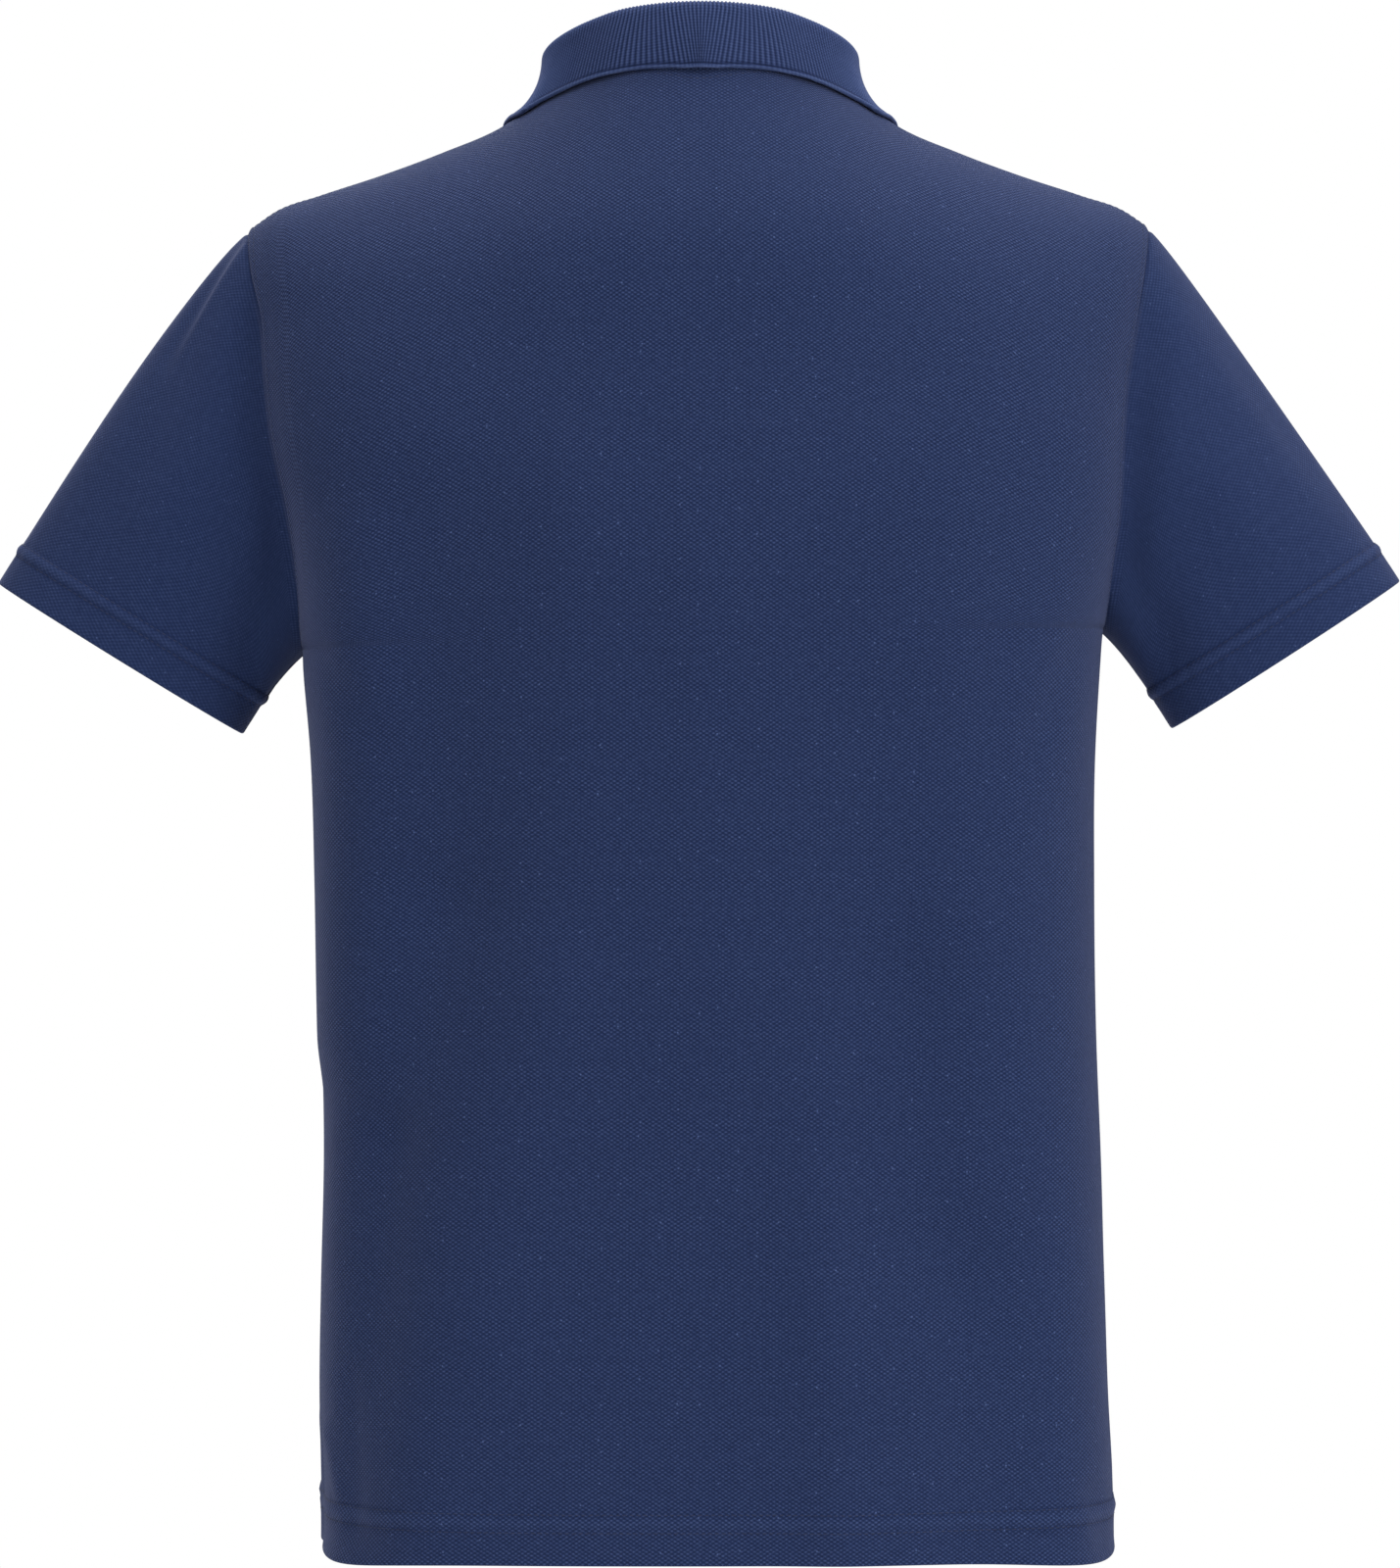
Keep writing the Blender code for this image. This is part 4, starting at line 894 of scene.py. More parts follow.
def sleeve_relief(side, grid, round_share):
    """Height of everything on a sleeve, and its painted shade and light."""
    along = distances(grid, 0)
    length = along[-1:]
    round_way = distances(grid, 1)
    height, shade = hem_relief(length - along, round_way, SLEEVE_STITCH_LINES, PUCKER_STARTS["cuff"])
    height += sleeve_fold_height(side, round_share[None, :], along / length)
    at_arm = bell(along, 0.0, SEAM_WIDTH)
    height -= ARMHOLE_GROOVE * at_arm
    up = ((grid[0, :, 2] - grid[0, :, 2].min()) / np.ptp(grid[0, :, 2]))[None, :]
    sunk = smooth_step((up - UNDERARM_FLAT) / UNDERARM_RANGE)
    sunk *= 1 - smooth_step((up - CAP_TOP) / CAP_TOP_RANGE)
    sunk = sunk * smooth_step(along / SLEEVE_SINK_START)
    height -= SLEEVE_SINK * sunk * bell(along, SLEEVE_SINK_PLACE, SLEEVE_SINK_WIDTH)
    at_under = bell(np.minimum(round_way, round_way[:, -1:] + LAST_STEP - round_way), 0.0, SEAM_WIDTH)
    height += (puckers(along, PUCKER_STARTS["sleeve"]) - SIDE_SEAM_DEPTH) * at_under
    return height, shade + ARMHOLE_PAINTED_SHADE * at_arm + SEAM_PAINTED_SHADE * at_under


sleeve_reliefs = {side: sleeve_relief(side, *form) for side, form in sleeve_forms.items()}
for side, (height, __) in sleeve_reliefs.items():
    print(f"{side} sleeve: {height.min() * 1000:.1f} to {height.max() * 1000:.1f} mm of relief")

# %% [markdown]
# ## Walls
#
# Cloth has a thickness, and it shows at every open edge. Each grid becomes a closed wall: an
# outer face, an inner face and a rim between them. Points that two panels share get one place
# and one normal, so that the walls meet along the seam. A turned hem is thicker inside, and its
# edge is drawn together into a round fold. A Solidify modifier would give the thickness too, but
# not the round fold or the mitre at a seam.

# %% A panel, and its thickness at a turned hem
EDGE_ROUND = 0.0012            # radius of a turned edge
EDGE_LEAST = 0.02              # keeps the very edge from closing to nothing
HEM_STEP = 0.0012              # the hem's extra thickness ends over this distance
SAME_POINT = 0.00001


def turned_edge(from_edge):
    """Part of the wall's thickness that is left near a turned edge, as on a half circle."""
    away = 1 - np.clip(from_edge / EDGE_ROUND, EDGE_LEAST, 1.0)
    return np.sqrt(1 - away ** 2)


def turned_hem(from_hem, depth):
    """How thin a panel is toward its hem's edge, and what the turned-up cloth adds inside."""
    return {"thin": turned_edge(from_hem),
            "extra": TURN_UP * smooth_step((depth + HEM_STEP - from_hem) / HEM_STEP)}


class Panel:
    """One piece of cloth: a grid with its relief, each point's place on the flat cloth, and how
    thick its wall is."""

    def __init__(self, grid, relief, cloth_place, closed=False, keep=None, thin=None, extra=None):
        height, self.shade = relief
        self.cloth_place, self.closed, self.keep = cloth_place, closed, keep
        self.key = np.round(grid / SAME_POINT).astype(int)
        self.own = grid_normals(grid, closed)
        self.normals = self.own.copy()
        self.points = grid + self.own * height[..., None]
        self.thin = np.ones(height.shape) if thin is None else thin
        self.extra = np.zeros(height.shape) if extra is None else extra

    def edge_points(self):
        rows, columns = self.points.shape[:2]
        edge = {(r, c) for c in range(columns) for r in (0, rows - 1)}
        if not self.closed:
            edge |= {(r, c) for r in range(rows) for c in (0, columns - 1)}
        return edge

    def quads(self):
        rows, columns = self.points.shape[:2]
        last = columns if self.closed else columns - 1
        r, c = np.meshgrid(np.arange(rows - 1), np.arange(last), indexing="ij")
        if self.keep is not None:
            kept = self.keep(r, c)
            r, c = r[kept], c[kept]
        r, c = r.ravel(), c.ravel()
        right = (c + 1) % columns
        return np.stack((r * columns + c, r * columns + right,
                         (r + 1) * columns + right, (r + 1) * columns + c), axis=1)


print(f"a {CLOTH * 1000} mm wall is {turned_edge(0.0) * CLOTH * 1000:.1f} mm thick at its very edge")

# %% Sewing, and the wall of a panel
SHARPEST_MITRE = 0.5


def sew(panels):
    """Give points that panels share one place and one normal."""
    shared = {}
    for panel in panels:
        for r, c in panel.edge_points():
            shared.setdefault(tuple(panel.key[r, c]), []).append((panel, r, c))
    for meeting in shared.values():
        if len(meeting) > 1:
            place = sum(panel.points[r, c] for panel, r, c in meeting) / len(meeting)
            normal = unit(sum(panel.own[r, c] for panel, r, c in meeting))
            for panel, r, c in meeting:
                panel.points[r, c] = place
                panel.normals[r, c] = normal
    return sum(len(meeting) > 1 for meeting in shared.values())


def edge_pairs(quads):
    """The directed edges of the faces that have no face on their other side."""
    starts = quads.ravel()
    ends = np.roll(quads, -1, axis=1).ravel()
    size = quads.max() + 1
    forward, backward = starts * size + ends, ends * size + starts
    open_edges = ~np.isin(forward, backward)
    return starts[open_edges], ends[open_edges]


def wall(panel, cloth=CLOTH):
    """Points, faces, texture places and painted shade of the closed wall round a panel."""
    lean = np.maximum(np.sum(panel.normals * panel.own, axis=2), SHARPEST_MITRE)
    half = (cloth / 2 * panel.thin / lean)[..., None]
    outer = (panel.points + panel.normals * half).reshape(-1, 3)
    inner_depth = half + (panel.extra * panel.thin)[..., None]
    inner = (panel.points - panel.normals * inner_depth).reshape(-1, 3)
    quads = panel.quads()
    count = len(outer)
    a, b = edge_pairs(quads)
    rim = np.stack((b, a, a + count, b + count), axis=1)
    faces = np.concatenate((quads, quads[:, ::-1] + count, rim))
    used = np.unique(faces)
    renumber = np.zeros(2 * count, dtype=int)
    renumber[used] = np.arange(len(used))
    places = np.concatenate((panel.cloth_place.reshape(-1, 2),) * 2)
    shade = np.concatenate((panel.shade.ravel(),) * 2)
    return np.concatenate((outer, inner))[used], renumber[faces], places[used], shade[used]


print(f"at a mitre the wall is at most {1 / SHARPEST_MITRE:.0f} times its thickness")

# %% [markdown]
# ## From numbers to objects
#
# One function turns a panel's wall into a mesh object with a UV map in metres of cloth. It
# writes the arrays in one go, which is much quicker than adding faces one by one. A second one
# makes the calls that every finished piece needs.

# %% Making objects
def cloth_object(name, panel, cloth=CLOTH, **numbers):
    """A smooth mesh object of a panel's wall, which keeps the named numbers of its points."""
    points, quads, places, shade = wall(panel, cloth)
    # the painted shade and light of grooves, seams and the collar's edge, which the materials read
    numbers["painted_light_and_shade"] = shade
    corners = quads.ravel()
    mesh = bpy.data.meshes.new(name)
    mesh.vertices.add(len(points))
    mesh.vertices.foreach_set("co", points.astype(np.float32).ravel())
    mesh.loops.add(len(corners))
    mesh.loops.foreach_set("vertex_index", corners.astype(np.int32))
    mesh.polygons.add(len(quads))
    mesh.polygons.foreach_set("loop_start", np.arange(0, len(corners), 4, dtype=np.int32))
    mesh.update(calc_edges=True)
    uv = mesh.uv_layers.new(name="cloth")
    uv.data.foreach_set("uv", places[corners].astype(np.float32).ravel())
    for key, values in numbers.items():
        stored = mesh.attributes.new(key, "FLOAT", "POINT")
        stored.data.foreach_set("value", values.astype(np.float32))
    mesh.validate()
    mesh.shade_smooth()
    return link(bpy.data.objects.new(name, mesh))


def finish_piece(piece, node, material):
    """What a finished piece is made of, rides on and replaces. It also says what was made."""
    piece.data.materials.clear()
    piece.data.materials.append(material)
    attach(piece, "root")
    if node:
        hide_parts(node)
    count = sum(len(face.vertices) - 2 for face in piece.data.polygons)
    print(piece.name, count, "triangles")


# %% [markdown]
# ## Materials
#
# Pique is a knit whose tuck stitches pull it into a fine honeycomb of small pits, in rows that
# are set off by half a cell, so that the eye sees faint diagonals, and the pits get painted shade.
# Cotton is matt, with a soft bloom of loose fibres at grazing angles, which is what the sheen
# gives. The rib is the same yarn, knitted as columns of small V stitches, with painted shade in
# its furrows and painted light on its ridges. Thread is polyester and smoother, and it is drawn
# darker than the cloth, as painted shade of its needle holes. The grooves of seams and hems get
# painted shade too. The buttons are cast polyester, polished. Patterns are worked out from the
# cloth's own places, so they follow each piece's grain and stay sharp close up, which a picture
# of cloth would not.

# %% Helpers for nodes
def add_node(tree, kind, inputs=None, **settings):
    """Add a node. inputs gives a value, or another node's socket, for an input's name or number,
    and settings are the node's own properties."""
    made = tree.nodes.new(kind)
    for key, value in settings.items():
        setattr(made, key, value)
    for key, value in (inputs or {}).items():
        if isinstance(value, bpy.types.NodeSocket):
            tree.links.new(value, made.inputs[key])
        else:
            made.inputs[key].default_value = value
    return made


def mixed_up(tree, start, parts):
    """A starting value, plus each part times its weight."""
    total = start
    for part, weight in parts:
        total = add_node(tree, "ShaderNodeMath", {0: part, 1: weight, 2: total},
                         operation="MULTIPLY_ADD").outputs[0]
    return total


def product(tree, one, two):
    return mixed_up(tree, 0.0, ((one, two),))


def coloured(tree, shader, tone, colours):
    """Give the shader the colour that a tone from 0 to 1 picks out of two or three colours."""
    ramp = add_node(tree, "ShaderNodeValToRGB", {"Fac": tone})
    stops = ramp.color_ramp.elements
    stops[0].color, stops[1].color = colours[0], colours[-1]
    if len(colours) == 3:
        stops.new(0.5).color = colours[1]
    tree.links.new(ramp.outputs["Color"], shader.inputs["Base Color"])


# %% What both knits share
# Cotton yarn: matt, with next to no highlight, and loose fibres that catch light at the edges.
COTTON_FINISH = {"Roughness": 0.92, "Specular IOR Level": 0.18, "Sheen Weight": 0.26,
                 "Sheen Roughness": 0.45, "Sheen Tint": srgb("a6abd3")}
YARN_NOISES = ((0.0011, 2.0), (0.004, 2.0), (0.030, 1.0))      # size and detail
SPECK_SPACING = 0.009
SPECK_OUTSIDE = 0.055          # a speck's radius, and that of its full middle, as parts of the
SPECK_INSIDE = 0.030           # spacing
SPECKS_LEFT_OUT = 0.82         # this part of them doesn't show


def wave(tree, place, period):
    """Cosine of a place, with this period in the place's own unit."""
    turned = product(tree, place, 2 * math.pi / period)
    return add_node(tree, "ShaderNodeMath", {0: turned}, operation="COSINE").outputs[0]


def new_knit(name):
    """A cotton material with its tree and shader, and the cloth's own places: both, across, up."""
    material, tree, shader = new_material(name, COTTON_FINISH)
    uv = add_node(tree, "ShaderNodeUVMap", uv_map="cloth").outputs["UV"]
    apart = add_node(tree, "ShaderNodeSeparateXYZ", {0: uv}).outputs
    return material, tree, shader, uv, apart["X"], apart["Y"]


def yarn_noises(tree, uv):
    """Three noises on the cloth's own places: loose fibres, slubs in the yarn, and mottling."""
    return [add_node(tree, "ShaderNodeTexNoise", {"Vector": uv, "Scale": 1 / size, "Detail": detail},
                     noise_dimensions="2D").outputs["Fac"] for size, detail in YARN_NOISES]


def painted_light_and_shade(tree):
    """Painted shade in the grooves beside stitches and seams, and painted light where it is below 0: 0
    is none.
    """
    return add_node(tree, "ShaderNodeAttribute", attribute_name="painted_light_and_shade").outputs["Fac"]


def light_specks(tree, uv):
    """A few pale fibre ends: the hearts of widely spaced cells, where a cell's own colour allows."""
    cells = add_node(tree, "ShaderNodeTexVoronoi", {"Vector": uv, "Scale": 1 / SPECK_SPACING},
                     voronoi_dimensions="2D").outputs
    heart = add_node(tree, "ShaderNodeMapRange", {"Value": cells["Distance"],
                                                  "From Min": SPECK_OUTSIDE, "From Max": SPECK_INSIDE})
    chosen = add_node(tree, "ShaderNodeSeparateColor", {0: cells["Color"]})
    few = add_node(tree, "ShaderNodeMath", {0: chosen.outputs[0], 1: SPECKS_LEFT_OUT},
                   operation="GREATER_THAN")
    return product(tree, heart.outputs["Result"], few.outputs[0])


def knitted(tree, shader, height, relief, tone, colours):
    """Join a height and a tone, 0.5 on average, to a knit. colours go from dark to light."""
    coloured(tree, shader, tone, colours)
    bump = add_node(tree, "ShaderNodeBump", {"Height": height, "Strength": 1.0, "Distance": relief})
    tree.links.new(bump.outputs["Normal"], shader.inputs["Normal"])


# %% Cotton pique
# The real cell is 2.2 mm by 1.4 mm. It is drawn a little coarser, because its diagonals would
# otherwise be finer than the picture can show.
PIQUE_CELL = (0.0029, 0.0019)
PIQUE_RELIEF = 0.00045
PIQUE_HEIGHTS = {"cells": 0.5, "fibres": 0.5}
PIQUE_CELLS = 0.36             # the knit's own pattern of cells, whose pits get this much painted shade against their rims
PIQUE_FIBRES = 0.45
PIQUE_SPECKS = 0.9
PIQUE_SLUBS = 0.12
PIQUE_MOTTLING = 0.03
# how much of the painted shade and light of grooves, seams and hems goes into the tone
PIQUE_PAINTED_SHADE = -0.10
PIQUE_PALENESS = 0.425
TAUT_PAINTED_LIGHT = 0.030          # painted light: with less shade in their flat pits, taut cells are drawn this much paler
BODY_WEAVE = 0.80
SLEEVE_WEAVE = 0.36            # the sleeves hang taut, with their cells pulled flatter
NAVY_DARK = srgb("081230")
NAVY = srgb("1c2b50")
NAVY_LIGHT = srgb("45557f")


def cotton_pique(name, weave):
    """The knit, with cells as strong as weave says: 1 is a loose knit, 0 one that is pulled flat."""
    material, tree, shader, uv, across, up = new_knit(name)
    cells = product(tree, wave(tree, across, PIQUE_CELL[0]), wave(tree, up, PIQUE_CELL[1]))
    fibres, slubs, mottling = yarn_noises(tree, uv)
    height = mixed_up(tree, 0.0, ((cells, PIQUE_HEIGHTS["cells"]), (fibres, PIQUE_HEIGHTS["fibres"])))
    paleness = PIQUE_PALENESS + (1 - weave) * TAUT_PAINTED_LIGHT - weave * PIQUE_FIBRES / 2
    tone = mixed_up(tree, paleness, (
        (cells, weave * PIQUE_CELLS),
        (fibres, weave * PIQUE_FIBRES),
        (slubs, PIQUE_SLUBS),
        (mottling, PIQUE_MOTTLING),
        (light_specks(tree, uv), weave * PIQUE_SPECKS),
        (painted_light_and_shade(tree), PIQUE_PAINTED_SHADE)))
    knitted(tree, shader, height, weave * PIQUE_RELIEF, tone, (NAVY_DARK, NAVY, NAVY_LIGHT))
    return material


PIQUE = cotton_pique("cotton_pique", BODY_WEAVE)
TAUT_PIQUE = cotton_pique("cotton_pique_taut", SLEEVE_WEAVE)
print("pique with", len(PIQUE.node_tree.nodes), "nodes, for the body and pulled taut for the sleeves")

# %% Cotton rib
RIB_STITCH = 0.0013            # height of one stitch along a rib
RIB_TEXTURE = 0.00016
RIB_HEIGHTS = {"stitches": 0.25, "fibres": 0.6}
# In the tone, ridge paints light on the ribs and shade in their furrows, and seams paints shade in the
# furrow before the bead and light on the bead
RIB_TONES = {"ridge": 0.70, "fibres": 0.20, "slubs": 0.12, "stitches": 0.10, "seams": -0.55}
RIB_DARK = srgb("0f1b3a")
RIB_NAVY = srgb("2c3a62")
RIB_LIGHT = srgb("4b5b86")


def cotton_rib():
    """The collar's knit: painted light on the ridges and painted shade in the furrows, which the mesh
    has itself.
    """
    material, tree, shader, uv, __, up = new_knit("cotton_rib")
    fibres, slubs, __ = yarn_noises(tree, uv)
    parts = {"stitches": wave(tree, up, RIB_STITCH), "fibres": fibres, "slubs": slubs,
             "ridge": add_node(tree, "ShaderNodeAttribute", attribute_name="rib_height").outputs["Fac"],
             "seams": painted_light_and_shade(tree)}
    height = mixed_up(tree, 0.0, [(parts[key], weight) for key, weight in RIB_HEIGHTS.items()])
    tone = mixed_up(tree, 0.0, [(parts[key], weight) for key, weight in RIB_TONES.items()])
    knitted(tree, shader, height, RIB_TEXTURE, tone, (RIB_DARK, RIB_NAVY, RIB_LIGHT))
    return material


RIB = cotton_rib()
print("rib with", len(RIB.node_tree.nodes), "nodes")

# %% Polyester thread and polished polyester buttons
# Twisted filament is smoother than cotton, so it has a soft shine along each stitch.
THREAD_FINISH = {"Roughness": 0.55, "Specular IOR Level": 0.35}
THREAD_TWIST = 0.0006
# The thread is drawn darker than the cloth, as painted shade of the needle holes that it lies in.
THREAD_AND_HOLE_SHADE_COLOURS = (srgb("141d3a"), srgb("243055"))
# Cast and tumbled polyester is glossy, and its pigment leaves a faint cloud.
BUTTON_FINISH = {"Roughness": 0.30, "IOR": 1.56, "Coat Weight": 0.25, "Coat Roughness": 0.12}
BUTTON_CLOUD = 0.004
BUTTON_COLOURS = (srgb("141a30"), srgb("232c4c"))


def noisy_material(name, finish, colours, **noise):
    """A plain material whose colour wanders between two, on the object's own places."""
    material, tree, shader = new_material(name, finish)
    noise["Vector"] = add_node(tree, "ShaderNodeTexCoord").outputs["Object"]
    found = add_node(tree, "ShaderNodeTexNoise", noise)
    coloured(tree, shader, found.outputs["Fac"], colours)
    return material


THREAD = noisy_material("polyester_thread", THREAD_FINISH, THREAD_AND_HOLE_SHADE_COLOURS,
                        Scale=1 / THREAD_TWIST, Detail=1.0)
BUTTON = noisy_material("cast_polyester", BUTTON_FINISH, BUTTON_COLOURS,
                        Scale=1 / BUTTON_CLOUD, Detail=3.0, Distortion=1.2)
print("materials:", ", ".join(m.name for m in (PIQUE, TAUT_PIQUE, RIB, THREAD, BUTTON)))

# %% [markdown]
# ## Sewing the panels
#
# The two body panels, the button band that fills the slit and the two sleeves are joined point
# by point, then turned into walls. Each keeps the places that its points have on the flat cloth,
# so that the knit runs straight down a panel, and square to the hem of a sleeve.

# %% Places on the flat cloth
def cloth_places(grid, start_column=0):
    """Where each point lies on the flat cloth, in metres: across from one column, and up."""
    across, up = distances(grid, 1), distances(grid, 0)
    return np.stack((across - across[:, start_column:start_column + 1], up), axis=2)


def sleeve_places(grid):
    """The same for a sleeve, whose grain runs down its top, and whose rows follow its hem."""
    places = cloth_places(grid, int(np.argmax(grid[0, :, 2])))
    places[..., 1] -= places[-1:, :, 1]
    return places


print(f"the back is {np.ptp(cloth_places(back_form)[0, :, 0]) * 1000:.0f} mm of cloth at its hem")

# %% Make and sew the panels
BACK_MIDDLE = (back_form.shape[1] - 1) // 2
FRONT_MIDDLE = (front_form.shape[1] - 1) // 2


def in_slit(row, column):
    beside = (column >= FRONT_MIDDLE - COLUMNS_SLIT) & (column < FRONT_MIDDLE + COLUMNS_SLIT)
    return (row >= FOOT_ROW) & beside


def body_panels():
    """The back, the front without its slit, and the button band that fills the slit."""
    places = cloth_places(front_form, FRONT_MIDDLE)
    return {
        "back": Panel(back_form, back_relief, cloth_places(back_form, BACK_MIDDLE),
                      **turned_hem(distances(back_form, 0), BODY_HEM)),
        "front": Panel(front_form, front_relief, places, keep=lambda r, c: ~in_slit(r, c),
                       **turned_hem(distances(front_form, 0), BODY_HEM)),
        "placket_under": Panel(front_form, front_relief, places, keep=in_slit)}


def sleeve_panel(side):
    grid = sleeve_forms[side][0]
    along = distances(grid, 0)
    return Panel(grid, sleeve_reliefs[side], sleeve_places(grid), closed=True,
                 **turned_hem(along[-1:] - along, SLEEVE_HEM))


panels = body_panels()
for side in ("left", "right"):
    panels["sleeve_" + side] = sleeve_panel(side)
seam_points = sew([panel for name, panel in panels.items() if name != "placket_under"])
print(seam_points, "points are shared by sewn edges")
cloth_pieces = {}
for name, panel in panels.items():
    cloth_pieces[name] = cloth_object("polo_" + name, panel)
    finish_piece(cloth_pieces[name], name, TAUT_PIQUE if "sleeve" in name else PIQUE)

# %% [markdown]
# ## The collar
#
# A polo collar is knitted flat, to size, in a one by one rib, with a firm edge made on the
# machine, so it isn't cut or hemmed. It stands up from the neckline, folds over and falls on the
# shoulders. The sections are swept round the neck, and Geometry Nodes then raise the ribs, since
# a rib is the same small wave repeated round the whole collar.

# %% The collar's sizes, by its turn round the neck
COLLAR = Sizes(
    ("turn", "rise", "lean", "bulge", "edge_out", "edge_y", "edge_level"),
    ((0, 0.0309, -0.0010, 0.0012, 0.0000, 0.0640, 0.0192),
     (30, 0.0277, -0.0008, 0.0008, 0.0425, 0.0514, 0.0172),
     (60, 0.0216, -0.0002, -0.0020, 0.0735, 0.0310, 0.0073),
     (75, 0.0190, 0.0000, -0.0035, 0.0850, 0.0230, 0.0018),
     (90, 0.0168, 0.0002, -0.0045, 0.0915, -0.0030, -0.0002),
     (120, 0.0129, 0.0006, -0.0020, 0.0885, -0.0440, -0.0190),
     (145, 0.0118, 0.0008, 0.0010, 0.0730, -0.0760, -0.0500),
     (165, 0.0116, 0.0000, 0.0030, 0.0510, -0.0960, -0.0740),
     (178, 0.0120, 0.0000, 0.0030, 0.0360, -0.1060, -0.0850)), level_start=True)
COLLAR_END_TURN = 177.0
COLLAR_FOLD_RADIUS = 0.0030
COLLAR_AIR = 0.0008            # between the collar and the cloth that it falls on
COLLAR_CLEARANCE = (CLOTH + COLLAR_CLOTH) / 2 + COLLAR_AIR
PLACKET_RAMP_START = 0.006     # beside the placket the collar rises over its second layer
PLACKET_RAMP = 0.004
RIB_PITCH = 0.00185
POINTS_PER_RIB = 4
RIB_RISE = 0.00070             # from the bottom of a furrow to the top of a rib
PLAIN_EDGE = 0.0030            # the ribs end this far from the free edge
BEAD = 0.0009                  # the firm edge is this much thicker
STAND_POINTS = 20              # of a section, before it is evened out
FOLD_POINTS = 14
FALL_POINTS = 29
STAND_CELLS = 12
FOLD_CELLS = 8
FALL_CELLS = 15
COLLAR_EDGE_STEPS = (0.0, 0.0003, 0.0007, 0.0012, 0.0018, 0.0024, 0.0030, 0.0038)
SEWN_DEPTH = 0.0008            # the stand starts this far inside the body's edge
COLLAR_LYING = 19              # the last points of a section, which lie on the body
print("the collar has", len(COLLAR.stations), "sections from the back to one end")

# %% Cloth that lies on the body
LIFT_ROUNDS = 6
SLOPE_STEP = 0.0002            # how far apart two places are whose heights give a slope
ABOVE_RIDGE = 2.0              # the form is read up to this part of its height
SHOULDER_PLACE = 0.15


def outside_body(points):
    """More than 0 outside the body's form, for points near the neck and shoulders."""
    x, y, z = points[..., 0], points[..., 1], points[..., 2]
    seam, under = ridge_place(x), underarm_level(x, z)
    rise = np.clip((z - under) / (RIDGE.at("level", np.abs(x)) - under), 0.0, ABOVE_RIDGE)
    behind = y > seam
    power = np.where(behind, roundness(BACK, x), roundness(FRONT, x))
    slab = np.where(behind, body_slab(BACK, x, z), body_slab(FRONT, x, z))
    share = np.abs(y - seam) / np.abs(slab - seam)
    return (share ** power + rise ** power) ** (1 / power) - 1


def lifted_clear(points, clearance):
    """Move points out until they are this far from the middle of the body's cloth."""
    points = points.copy()
    for __ in range(LIFT_ROUNDS):
        here = outside_body(points)
        slope = np.stack([(outside_body(points + SLOPE_STEP * axis) - here) / SLOPE_STEP
                          for axis in np.eye(3)], axis=-1)
        size = np.linalg.norm(slope, axis=-1)
        short = np.clip(clearance - here / size, 0.0, None)
        points += slope / size[..., None] * short[..., None]
    return points


point = np.array((SHOULDER_PLACE, 0.0, 0.0))
print(f"over the shoulder, the origin's height is {float(outside_body(point)):.2f} outside the form")

# %% A section of the collar
def neck_point(turn):
    """Point of the neckline at a turn in degrees, 0 at the back, plus to the wearer's left."""
    x = NECK_HALF_WIDTH * np.sin(np.radians(turn))
    behind = np.abs(turn) <= 90
    back, front = top_line(BACK, x), top_line(FRONT, x)
    y, z = (np.where(behind, back[k], front[k]) for k in (0, 1))
    return np.stack((x, y, z), axis=-1)


def collar_section(turn):
    """The collar cut across at one turn: up the stand, over the fold, down the fall. Returns
    the points, and how far each point of the fall stays from the middle of the body's cloth."""
    size, angle = abs(turn), math.radians(turn)
    outward = np.array((math.sin(angle), math.cos(angle), 0.0))
    up = np.array((0.0, 0.0, 1.0))
    seam = neck_point(np.array(turn)) - up * SEWN_DEPTH
    rise = float(COLLAR.at("rise", size)) - COLLAR_FOLD_RADIUS
    stand_top = seam + up * (rise + SEWN_DEPTH) + outward * float(COLLAR.at("lean", size))
    stand = seam + (stand_top - seam) * np.linspace(0.0, 1.0, STAND_POINTS)[:, None]
    bend = np.linspace(math.pi, 0.0, FOLD_POINTS + 1)[1:, None]
    fold = stand_top + COLLAR_FOLD_RADIUS * (outward * (1 + np.cos(bend)) + up * np.sin(bend))
    fall_top = fold[-1]
    edge = np.array((math.copysign(float(COLLAR.at("edge_out", size)), turn),
                     float(COLLAR.at("edge_y", size)), float(COLLAR.at("edge_level", size))))
    drop = edge - fall_top
    along = unit(np.array((outward[1], -outward[0], 0.0)))
    out_of_fall = unit(np.cross(along, drop))
    out_of_fall = out_of_fall if out_of_fall @ outward > 0 else -out_of_fall
    middle = fall_top + drop * 0.5 + out_of_fall * float(COLLAR.at("bulge", size))
    pull = 2 * middle - (fall_top + edge) / 2
    t = np.linspace(0.0, 1.0, FALL_POINTS + 1)[1:, None]
    fall = fall_top * (1 - t) ** 2 + pull * 2 * t * (1 - t) + edge * t ** 2
    from_placket = np.abs(fall[:, 0]) - PLACKET_HALF
    over_placket = smooth_step((PLACKET_RAMP_START - from_placket) / PLACKET_RAMP) * (fall[:, 1] < 0)
    clear = COLLAR_CLEARANCE + (CLOTH + LAY_GAP) * over_placket
    return np.concatenate((stand, fold, fall)), clear


back_section = collar_section(0.0)[0]
rib_length = walked(back_section)[-1]
print(f"at the back the collar takes {rib_length * 1000:.0f} mm of rib, from seam to edge")

# %% The collar's grid
FINE_TURNS = 721


def collar_turns():
    """Turns of the rib's points, evenly spaced along the fold."""
    turns = np.linspace(-COLLAR_END_TURN, COLLAR_END_TURN, FINE_TURNS)
    neck = neck_point(turns)
    outward = np.stack((np.sin(np.radians(turns)), np.cos(np.radians(turns)), 0 * turns), axis=1)
    along = walked(neck + outward * COLLAR_FOLD_RADIUS)
    ribs = round(along[-1] / RIB_PITCH)
    places = np.linspace(0.0, along[-1], ribs * POINTS_PER_RIB + 1)
    return np.interp(places, along, turns), ribs


